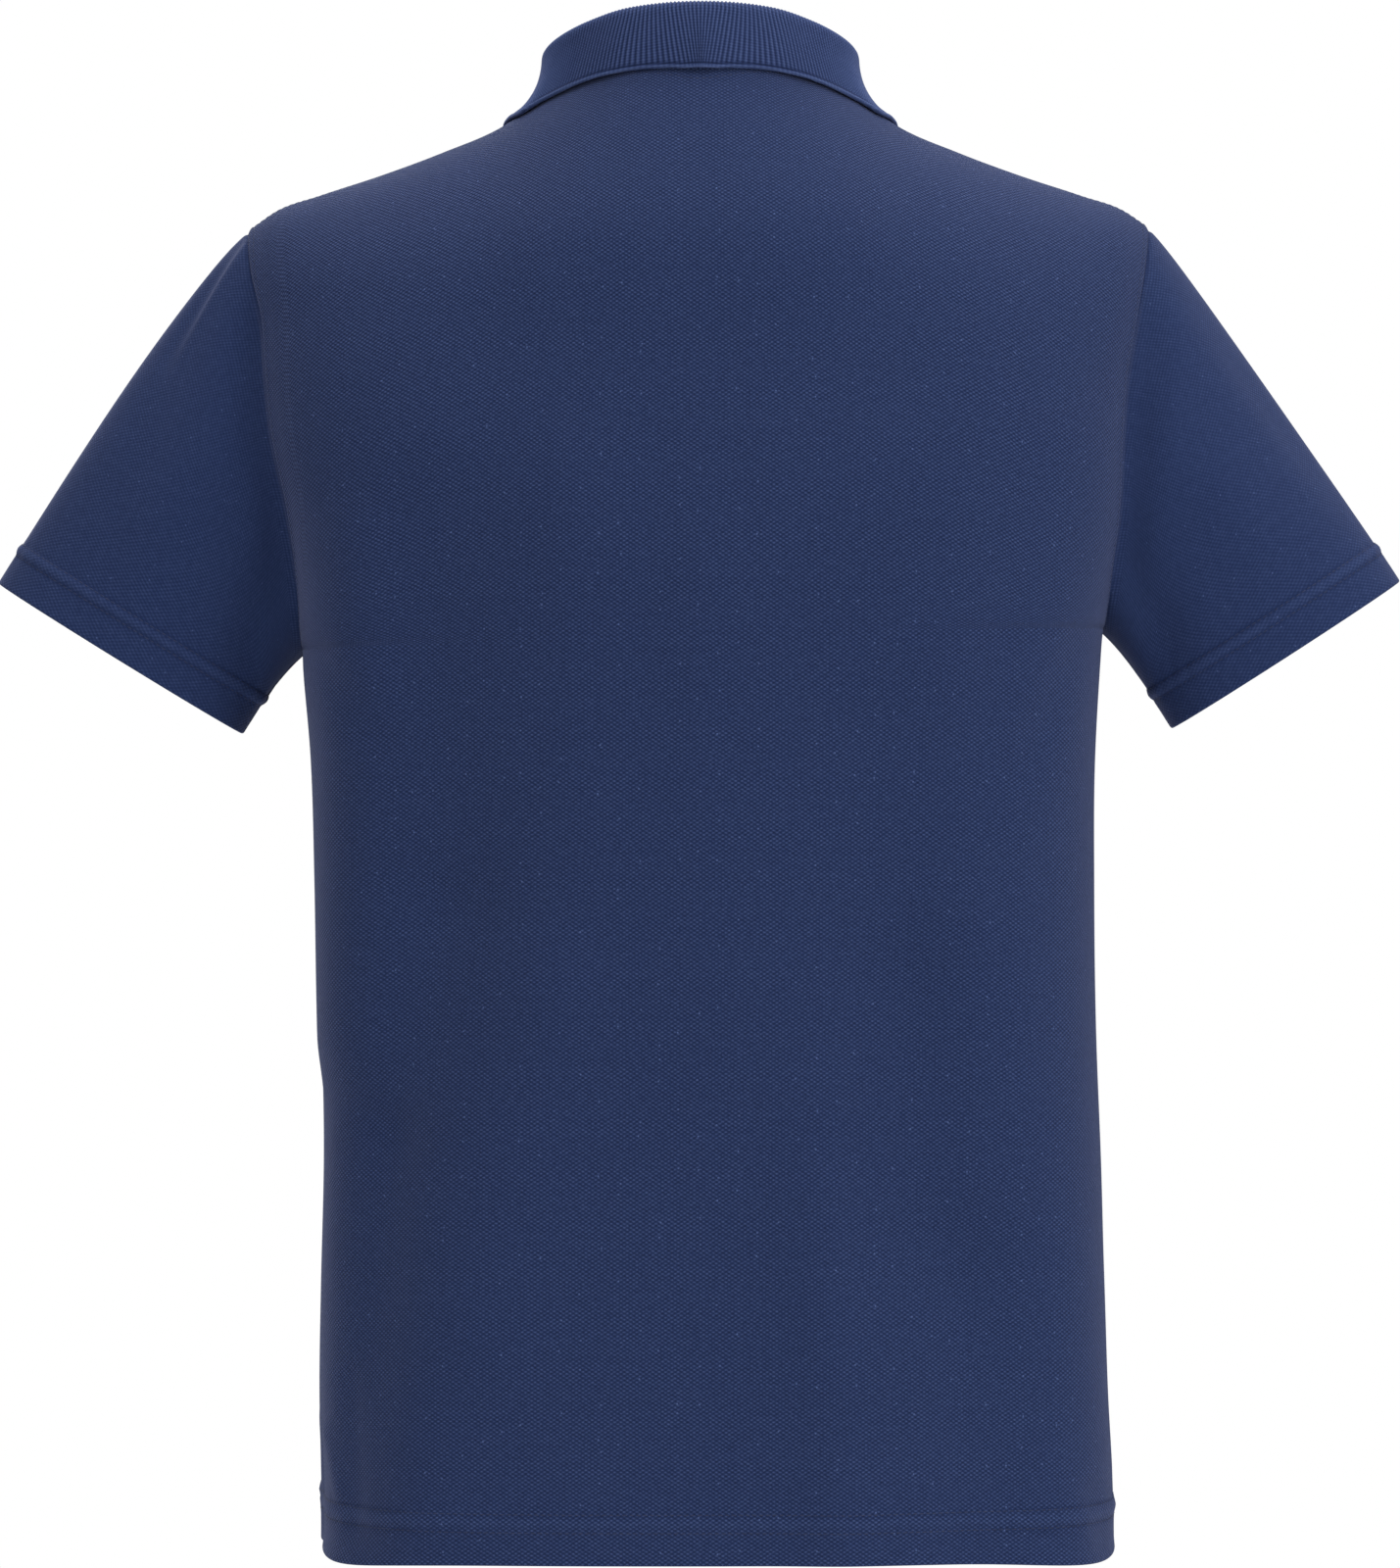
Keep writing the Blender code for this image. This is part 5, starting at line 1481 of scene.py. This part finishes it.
def collar_grid():
    """Rows from the neck seam to the free edge, columns round the neck."""
    turns, ribs = collar_turns()
    sections, clearances = zip(*(collar_section(turn) for turn in turns))
    sections, clearances = np.stack(sections), np.stack(clearances)
    lying = slice(-COLLAR_LYING, None)
    sections[:, lying] = lifted_clear(sections[:, lying], clearances[:, lying])
    stand_end = STAND_POINTS - 1
    fold_end = stand_end + FOLD_POINTS
    stretches = [(0, stand_end, PLAIN_START, PLAIN_START, STAND_CELLS),
                 (stand_end, fold_end, PLAIN_START, PLAIN_START, FOLD_CELLS),
                 (fold_end, fold_end + FALL_POINTS, PLAIN_START, COLLAR_EDGE_STEPS, FALL_CELLS)]
    rows = [read_stretches(section, stretches) for section in sections]
    return np.stack(rows, axis=1), ribs


collar_form, rib_count = collar_grid()
print("collar:", collar_form.shape[:2], "points,", rib_count, "ribs")

# %% The collar as a wall
RIB_END = 0.0006               # the ribs reach this far into the plain edge
RIB_END_FADE = 0.0009
RIB_SIDE_FADE = 0.003
EDGE_RIB = 0.45                # the firm edge has weaker ribs of its own
EDGE_RIB_PLACE = 0.0012
EDGE_RIB_WIDTH = 0.0010
BEAD_PLACE = 0.0011
BEAD_WIDTH = 0.0010
END_ROUND = 0.0001             # the collar's two ends are rounded a little less than its edge
PLAIN_PAINTED_SHADE = 0.9               # painted shade in the furrow between the ribs and the bead
PLAIN_PAINTED_SHADE_WIDTH = 0.0006
BEAD_PAINTED_LIGHT = 0.8               # and painted light on the bead
BEAD_PAINTED_LIGHT_PLACE = 0.0010
BEAD_PAINTED_LIGHT_WIDTH = 0.0009


def rib_fade(from_edge, from_end):
    """How high the ribs are near the free edge and the ends, as a part of their full height."""
    fade = smooth_step((from_edge - PLAIN_EDGE + RIB_END) / RIB_END_FADE)
    fade *= smooth_step(from_end / RIB_SIDE_FADE)
    return fade + EDGE_RIB * bell(from_edge, EDGE_RIB_PLACE, EDGE_RIB_WIDTH)


def make_plain_collar(grid, ribs):
    """The collar as a wall, with the numbers that the ribs need at each point."""
    rows, columns = grid.shape[:2]
    up, across = distances(grid, 0), distances(grid, 1)
    from_edge = up[-1:] - up
    place = np.arange(columns)[None, :] / POINTS_PER_RIB + np.zeros((rows, 1))
    from_end = np.minimum(place, ribs - place) * RIB_PITCH
    thin = 1 + BEAD / COLLAR_CLOTH * bell(from_edge, BEAD_PLACE, BEAD_WIDTH)
    thin *= turned_edge(np.minimum(from_edge, from_end + END_ROUND))
    # painted shade in the furrow before the bead, and painted light on the bead
    tone = PLAIN_PAINTED_SHADE * bell(from_edge, PLAIN_EDGE - PLAIN_PAINTED_SHADE_WIDTH, PLAIN_PAINTED_SHADE_WIDTH)
    tone -= BEAD_PAINTED_LIGHT * bell(from_edge, BEAD_PAINTED_LIGHT_PLACE, BEAD_PAINTED_LIGHT_WIDTH)
    panel = Panel(grid, (np.zeros((rows, columns)), tone), np.stack((across, up), axis=2), thin=thin)
    return cloth_object("plain_collar", panel, COLLAR_CLOTH,
                        rib_place=np.concatenate((place.ravel(), place.ravel() + 0.5)),
                        rib_fade=np.tile(rib_fade(from_edge, from_end).ravel(), 2))


plain_collar = make_plain_collar(collar_form, rib_count)
print("collar without ribs:", len(plain_collar.data.polygons), "faces")

# %% [markdown]
# The tree below moves each point out along its normal by a cosine of its place, counted in ribs,
# times a fade that ends the ribs before the firm edge. It also stores the height, so that the
# material can paint shade in the furrows and light on the ridges.

# %% Helpers for Geometry Nodes
def new_tree(name, sizes):
    """A tree with a geometry in and out, named number inputs and a material input."""
    tree = bpy.data.node_groups.new(name, "GeometryNodeTree")
    tree.interface.new_socket("Geometry", in_out="INPUT", socket_type="NodeSocketGeometry")
    for key, value in sizes.items():
        socket = tree.interface.new_socket(key, in_out="INPUT", socket_type="NodeSocketFloat")
        socket.default_value = value
    tree.interface.new_socket("Material", in_out="INPUT", socket_type="NodeSocketMaterial")
    tree.interface.new_socket("Geometry", in_out="OUTPUT", socket_type="NodeSocketGeometry")
    start = tree.nodes.new("NodeGroupInput")
    end = tree.nodes.new("NodeGroupOutput")
    return tree, start.outputs, end.inputs


def end_tree(tree, geometry, given, result):
    real = add_node(tree, "GeometryNodeRealizeInstances", {"Geometry": geometry})
    painted = add_node(tree, "GeometryNodeSetMaterial",
                       {"Geometry": real.outputs[0], "Material": given["Material"]})
    tree.links.new(painted.outputs[0], result["Geometry"])


def grown(source, tree, material, name, sizes=None):
    """Run a tree on an object and return its result as a plain mesh object."""
    modifier = source.modifiers.new(tree.name, "NODES")
    modifier.node_group = tree
    sockets = {item.name: item.identifier for item in tree.interface.items_tree
               if item.item_type == "SOCKET" and item.in_out == "INPUT"}
    modifier[sockets["Material"]] = material
    for key, value in (sizes or {}).items():
        modifier[sockets[key]] = value
    seen = source.evaluated_get(bpy.context.evaluated_depsgraph_get())
    mesh = bpy.data.meshes.new_from_object(seen)
    mesh.name = name
    bpy.data.objects.remove(source, do_unlink=True)
    mesh.shade_smooth()
    return link(bpy.data.objects.new(name, mesh))


# %% Raise the ribs
def rib_tree():
    tree, given, result = new_tree("raise_ribs", {"Rib Rise": RIB_RISE})
    place, fade = (add_node(tree, "GeometryNodeInputNamedAttribute", {"Name": name},
                            data_type="FLOAT").outputs["Attribute"]
                   for name in ("rib_place", "rib_fade"))
    ridge = product(tree, wave(tree, place, 1.0), fade)
    raised = product(tree, ridge, product(tree, given["Rib Rise"], 0.5))
    normal = add_node(tree, "GeometryNodeInputNormal").outputs[0]
    offset = add_node(tree, "ShaderNodeVectorMath", {0: normal, "Scale": raised}, operation="SCALE")
    moved = add_node(tree, "GeometryNodeSetPosition",
                     {"Geometry": given["Geometry"], "Offset": offset.outputs[0]})
    stored = add_node(tree, "GeometryNodeStoreNamedAttribute",
                      {"Geometry": moved.outputs[0], "Name": "rib_height",
                       "Value": mixed_up(tree, 0.5, ((ridge, 0.5),))},
                      data_type="FLOAT", domain="POINT")
    end_tree(tree, stored.outputs[0], given, result)
    return tree


collar = grown(plain_collar, rib_tree(), RIB, "polo_collar")
finish_piece(collar, "collar", RIB)
cloth_pieces["collar"] = collar

# %% [markdown]
# ## The placket
#
# The top band of the placket is folded pique, sewn down along both sides and across its foot. It
# is made from the front's own points, moved out by one thickness of cloth, so that it lies on
# the front everywhere.

# %% The top band
BAND_STITCH = 0.0022           # from the band's edge to its stitching
BAND_FOOT = 0.0085             # how far the band reaches below the slit
BAND_NECK_GAP = 0.0012
BAND_ROWS_BELOW = 5            # rows of the front below the slit that the band's foot lies on
BAND_SIDE_STEPS = (0.0, 0.0004, 0.0009, 0.0015, 0.0022, 0.0030)
BAND_FOOT_STEPS = (0.0, 0.0005, 0.0011, 0.0022, 0.0034)
BAND_NECK_STEPS = (0.0, 0.001)
BAND_COLUMNS = 8
BAND_ROWS = 48
BAND_PUCKER_WIDTH = 0.003


def band_grid():
    """Points of the top band: across it, and from its foot to the neckline."""
    half = PLACKET_HALF + PLACKET_OVERLAP
    places = spread(2 * half, BAND_SIDE_STEPS, BAND_SIDE_STEPS, BAND_COLUMNS) - half
    rows = [read_points(places, row[:, 0], row) for row in front_form[FOOT_ROW - BAND_ROWS_BELOW:]]
    columns = []
    for line in np.stack(rows, axis=1):
        along = walked(line)
        foot = along[BAND_ROWS_BELOW] - BAND_FOOT
        length = along[-1] - foot - BAND_NECK_GAP
        steps = spread(length, BAND_FOOT_STEPS, BAND_NECK_STEPS, BAND_ROWS)
        columns.append(read_points(steps + foot, along, line))
    return np.stack(columns, axis=1)


def band_panel_on(form):
    across, up = distances(form, 1), distances(form, 0)
    from_side = np.minimum(across, across[:, -1:] - across)
    groove = np.maximum(bell(from_side, BAND_STITCH, STITCH_GROOVE_WIDTH),
                        bell(up, BAND_STITCH, STITCH_GROOVE_WIDTH))
    waves = puckers(up, PUCKER_STARTS["band"]) * bell(from_side, BAND_STITCH, BAND_PUCKER_WIDTH)
    height = CLOTH + LAY_GAP - STITCH_GROOVE * groove + waves
    # the groove is also the band's painted shade, in its grooves of stitches
    return Panel(form, (height, groove), cloth_places(form, form.shape[1] // 2),
                 thin=turned_edge(np.minimum(from_side, up)))


band_panel = band_panel_on(band_grid())
cloth_pieces["placket_top"] = cloth_object("polo_placket_top", band_panel)
finish_piece(cloth_pieces["placket_top"], "placket_top", PIQUE)

# %% [markdown]
# ## Buttons
#
# A polo button is turned: a dished face inside a raised rim, with four holes. The profile is
# spun, and a Boolean cuts the holes. Each button is then seated on the band where its solid is,
# with the thread across its holes.

# %% Turn and drill a button
BUTTON_RADIUS = 0.00575
BUTTON_HEIGHT = 0.0026
BUTTON_PROFILE = ((0.0, 0.0), (0.78, 0.0), (0.93, 0.10), (1.0, 0.35), (1.0, 0.66), (0.96, 0.90),
                  (0.89, 1.0), (0.80, 0.95), (0.72, 0.78), (0.62, 0.70), (0.0, 0.66))
BUTTON_SIDES = 56
HOLE_RADIUS = 0.0007
HOLE_PLACE = 0.00125           # from the button's middle, along both ways
HOLE_SIDES = 14
SAME_VERTEX = 1e-6
SHARP_ANGLE = math.radians(40)


def turned_button():
    turned = bmesh.new()
    line = [turned.verts.new((out * BUTTON_RADIUS, 0.0, up * BUTTON_HEIGHT))
            for out, up in BUTTON_PROFILE]
    edges = [turned.edges.new(pair) for pair in zip(line[:-1], line[1:])]
    bmesh.ops.spin(turned, geom=line + edges, cent=(0.0, 0.0, 0.0), axis=(0.0, 0.0, 1.0),
                   angle=2 * math.pi, steps=BUTTON_SIDES)
    bmesh.ops.remove_doubles(turned, verts=turned.verts, dist=SAME_VERTEX)
    bmesh.ops.recalc_face_normals(turned, faces=turned.faces)
    return object_from(turned, "button_blank")


def drill():
    """Four small rods where the holes go."""
    rods = bmesh.new()
    for x in (-HOLE_PLACE, HOLE_PLACE):
        for y in (-HOLE_PLACE, HOLE_PLACE):
            bmesh.ops.create_cone(rods, cap_ends=True, segments=HOLE_SIDES, radius1=HOLE_RADIUS,
                                  radius2=HOLE_RADIUS, depth=3 * BUTTON_HEIGHT,
                                  matrix=Matrix.Translation((x, y, 0.0)))
    return object_from(rods, "drill")


def drilled_button():
    blank, rods = turned_button(), drill()
    cut = blank.modifiers.new("holes", "BOOLEAN")
    cut.object = rods
    cut.operation = "DIFFERENCE"
    seen = blank.evaluated_get(bpy.context.evaluated_depsgraph_get())
    mesh = bpy.data.meshes.new_from_object(seen)
    for spare in (blank, rods):
        bpy.data.objects.remove(spare, do_unlink=True)
    mesh.shade_smooth()
    mesh.set_sharp_from_angle(angle=SHARP_ANGLE)
    return mesh


# %% Seat three buttons
def button_seat(node):
    """Where a button's solid lies, and the way that its face looks: the band's slope there."""
    low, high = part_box(node)
    middle = (Vector(low) + Vector(high)) / 2
    line = band_panel.points[:, band_panel.points.shape[1] // 2]
    row = int(np.argmin(np.abs(line[:, 2] - middle.z)))
    run = Vector(line[row + 1] - line[row - 1]).normalized()
    out = Vector((0.0, -run.z, run.y))
    turn = out.to_track_quat("Z", "X").to_matrix().to_4x4()
    return Matrix.Translation(middle - out * BUTTON_HEIGHT / 2) @ turn


button_blank = drilled_button()
print("a button has", len(button_blank.polygons), "faces")
button_names = sorted(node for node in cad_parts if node.startswith("button"))
button_seats = {}
for node in button_names:
    mesh = button_blank.copy()
    button_seats[node] = button_seat(node)
    mesh.transform(button_seats[node])
    piece = link(bpy.data.objects.new("polo_" + node, mesh))
    finish_piece(piece, node, BUTTON)

# %% [markdown]
# ## Stitches
#
# Every seam that shows is held by thread. A stitch is a small rounded bar that lies in the
# groove, one after another at an even pitch. The paths are lines on the finished walls, and one
# Geometry Nodes tree lays the stitches on all of them.

# %% The stitch tree
STITCH_SIZES = {"Pitch": 0.0031, "Stitch Length": 0.0024, "Thread Width": 0.00055}
STITCH_SIDES = 6               # of each little bar, round and along


def stitch_tree():
    tree, given, result = new_tree("lay_stitches", STITCH_SIZES)
    lines = add_node(tree, "GeometryNodeMeshToCurve", {"Mesh": given["Geometry"]})
    spaced = add_node(tree, "GeometryNodeResampleCurve",
                      {"Curve": lines.outputs[0], "Length": given["Pitch"]}, mode="LENGTH")
    bar = add_node(tree, "GeometryNodeMeshUVSphere",
                   {"Segments": STITCH_SIDES, "Rings": STITCH_SIDES, "Radius": 0.5})
    wide, long = given["Thread Width"], given["Stitch Length"]
    shape = add_node(tree, "ShaderNodeCombineXYZ", {"X": wide, "Y": wide, "Z": long})
    tangent = add_node(tree, "GeometryNodeInputTangent").outputs[0]
    aimed = add_node(tree, "FunctionNodeAlignRotationToVector", {"Vector": tangent}, axis="Z")
    laid = add_node(tree, "GeometryNodeInstanceOnPoints",
                    {"Points": spaced.outputs[0], "Instance": bar.outputs["Mesh"],
                     "Rotation": aimed.outputs[0], "Scale": shape.outputs[0]})
    end_tree(tree, laid.outputs[0], given, result)
    return tree


STITCHES = stitch_tree()


def stitched(name, lines, sizes=None):
    """Lay stitches along lines of points and make them one piece."""
    edges, start = [], 0
    for line in lines:
        edges += [(start + i, start + i + 1) for i in range(len(line) - 1)]
        start += len(line)
    mesh = bpy.data.meshes.new(name + "_lines")
    mesh.from_pydata(np.concatenate(lines).tolist(), edges, [])
    piece = grown(link(bpy.data.objects.new(name + "_lines", mesh)), STITCHES, THREAD, name, sizes)
    finish_piece(piece, None, THREAD)


print("the stitch tree takes", ", ".join(STITCH_SIZES))

# %% Lines for the stitches
SUNK = -0.00005                # the thread lies a little into the cloth


def at_distance(panel, axis, from_start, lines):
    """Points on a panel's outside at a distance from its first row or column, or, if it is
    less than 0, from its last one. There is one for each of these lines."""
    level = axis == 0 and from_start >= 0
    walked_to = above_hem(panel.points) if level else distances(panel.points, axis)
    skin = panel.points + panel.normals * (CLOTH / 2 + SUNK)
    found = []
    for i in lines:
        track, line = (walked_to[:, i], skin[:, i]) if axis == 0 else (walked_to[i], skin[i])
        place = from_start if from_start >= 0 else track[-1] + from_start
        found.append([np.interp(place, track, line[:, k]) for k in range(3)])
    return np.array(found)


def hem_lines(panel, distances_up):
    """Both rows of stitching of a hem. A sleeve's hem is at its last row, the body's at its
    first one."""
    columns = list(range(panel.points.shape[1])) + ([0] if panel.closed else [])
    sign = -1 if panel.closed else 1
    return [at_distance(panel, 0, sign * line, columns) for line in distances_up]


def both_sides(panel, offset, rows):
    """Stitching beside both side edges of a panel."""
    return [at_distance(panel, 1, place, rows) for place in (offset, -offset)]


# %% Stitch the hems and the armholes
ARMHOLE_STITCH = 0.0055        # from the seam to the stitching beside it
UNDERARM_ROWS_FREE = 6         # rows without stitches above the underarm, and at the shoulder
SHOULDER_ROWS_FREE = 4
back, front = panels["back"], panels["front"]
stitched("polo_hem_stitches", hem_lines(back, BODY_STITCH_LINES) + hem_lines(front, BODY_STITCH_LINES))
stitched("polo_cuff_stitches", hem_lines(panels["sleeve_left"], SLEEVE_STITCH_LINES)
         + hem_lines(panels["sleeve_right"], SLEEVE_STITCH_LINES))
arm_rows = range(UNDERARM_ROW + UNDERARM_ROWS_FREE, back.points.shape[0] - SHOULDER_ROWS_FREE)
stitched("polo_armhole_stitches",
         both_sides(back, ARMHOLE_STITCH, arm_rows) + both_sides(front, ARMHOLE_STITCH, arm_rows))

# %% Stitch the neck and the shoulders
NECK_STITCH = 0.0060
SHOULDER_STITCH = 0.0050
NECK_MARGIN = 0.001            # a column this far outside the neckline still counts as the neck's


def top_columns(panel, wanted):
    """Columns of a panel whose top end lies at an x that is wanted."""
    return [c for c, x in enumerate(panel.points[-1, :, 0]) if wanted(x)]


def in_neck(x):
    return abs(x) < NECK_HALF_WIDTH + NECK_MARGIN


neck_lines = [at_distance(back, 0, -NECK_STITCH, top_columns(back, in_neck))]
for side in (-1, 1):
    half = [c for c in top_columns(front, in_neck) if side * (c - FRONT_MIDDLE) > COLUMNS_SLIT + 1]
    neck_lines.append(at_distance(front, 0, -NECK_STITCH, half))
for side in (-1, 1):
    shoulder = top_columns(back, lambda x: side * x > NECK_HALF_WIDTH + NECK_MARGIN)
    neck_lines.append(at_distance(back, 0, -SHOULDER_STITCH, shoulder))
stitched("polo_neck_stitches", neck_lines)

# %% Stitch the placket
BOX_STITCH = 0.0080            # the second row across the band's foot
BAND_ENDS_FREE = 4             # rows and columns of the band's edge that the lines leave out
band_rows, band_columns = (range(BAND_ENDS_FREE, size) for size in band_panel.points.shape[:2])
band_lines = both_sides(band_panel, BAND_STITCH, band_rows)
band_lines += [at_distance(band_panel, 0, place, band_columns[:-BAND_ENDS_FREE])
               for place in (BAND_STITCH, BOX_STITCH)]
stitched("polo_placket_stitches", band_lines)

# %% [markdown]
# Behind each button is its buttonhole, a slit along the band edged with close, short stitches,
# and through the button's holes go two bars of thread.

# %% Buttonholes and the buttons' thread
BUTTONHOLE_HALF = 0.0078
BUTTONHOLE_WIDE = 0.0011
BUTTONHOLE_LEVEL = -0.00012    # from the button's back
BUTTONHOLE_POINTS = (24, 4)    # along the slit and across its ends
BUTTONHOLE_STITCHES = {"Pitch": 0.00055, "Stitch Length": 0.0009, "Thread Width": 0.0007}
BAR_LEVEL = 0.70               # as a part of the button's height
BAR_STITCHES = {"Pitch": 0.0006, "Stitch Length": 0.0016, "Thread Width": 0.00055}


def seated(seat, points):
    return np.array([seat @ Vector(point) for point in points])


def buttonhole(seat):
    """Lines of close stitches along both sides of the slit and across its ends."""
    slit = np.linspace(-BUTTONHOLE_HALF, BUTTONHOLE_HALF, BUTTONHOLE_POINTS[0])
    width = np.linspace(-BUTTONHOLE_WIDE, BUTTONHOLE_WIDE, BUTTONHOLE_POINTS[1])
    sides = [[(x, side * BUTTONHOLE_WIDE, BUTTONHOLE_LEVEL) for x in slit] for side in (-1, 1)]
    ends = [[(end * BUTTONHOLE_HALF, y, BUTTONHOLE_LEVEL) for y in width] for end in (-1, 1)]
    return [seated(seat, line) for line in sides + ends]


def button_thread(seat):
    """Bars of thread over the dished face, from hole to hole."""
    level = BAR_LEVEL * BUTTON_HEIGHT
    return [seated(seat, [(x, y, level) for y in (-HOLE_PLACE, 0.0, HOLE_PLACE)])
            for x in (-HOLE_PLACE, HOLE_PLACE)]


hole_lines = [line for seat in button_seats.values() for line in buttonhole(seat)]
stitched("polo_buttonhole_stitches", hole_lines, BUTTONHOLE_STITCHES)
bar_lines = [line for seat in button_seats.values() for line in button_thread(seat)]
stitched("polo_button_thread", bar_lines, BAR_STITCHES)

# %% [markdown]
# ## What each sheet was cut to
#
# A maker would cut these pieces flat.

CUTS = {
    "back": {"flat": (0.56, 0.71), "area": 0.352},
    "front": {"flat": (0.58, 0.69), "area": 0.352},
    "sleeve_left": {"flat": (0.40, 0.185), "area": 0.0475},
    "sleeve_right": {"flat": (0.40, 0.185), "area": 0.0467},
    "collar": {"flat": (0.46, 0.085), "area": 0.0370},
    "placket_top": {"flat": (0.035, 0.185), "area": 0.0062},
    "placket_under": {"flat": (0.033, 0.175), "area": 0.0056},
}
for name, cut in CUTS.items():
    piece = cloth_pieces[name]
    area = sum(face.area for face in piece.data.polygons) / 2
    print(f"{name}: {area:.4f} square metres modelled, {cut['area']:.4f} cut")
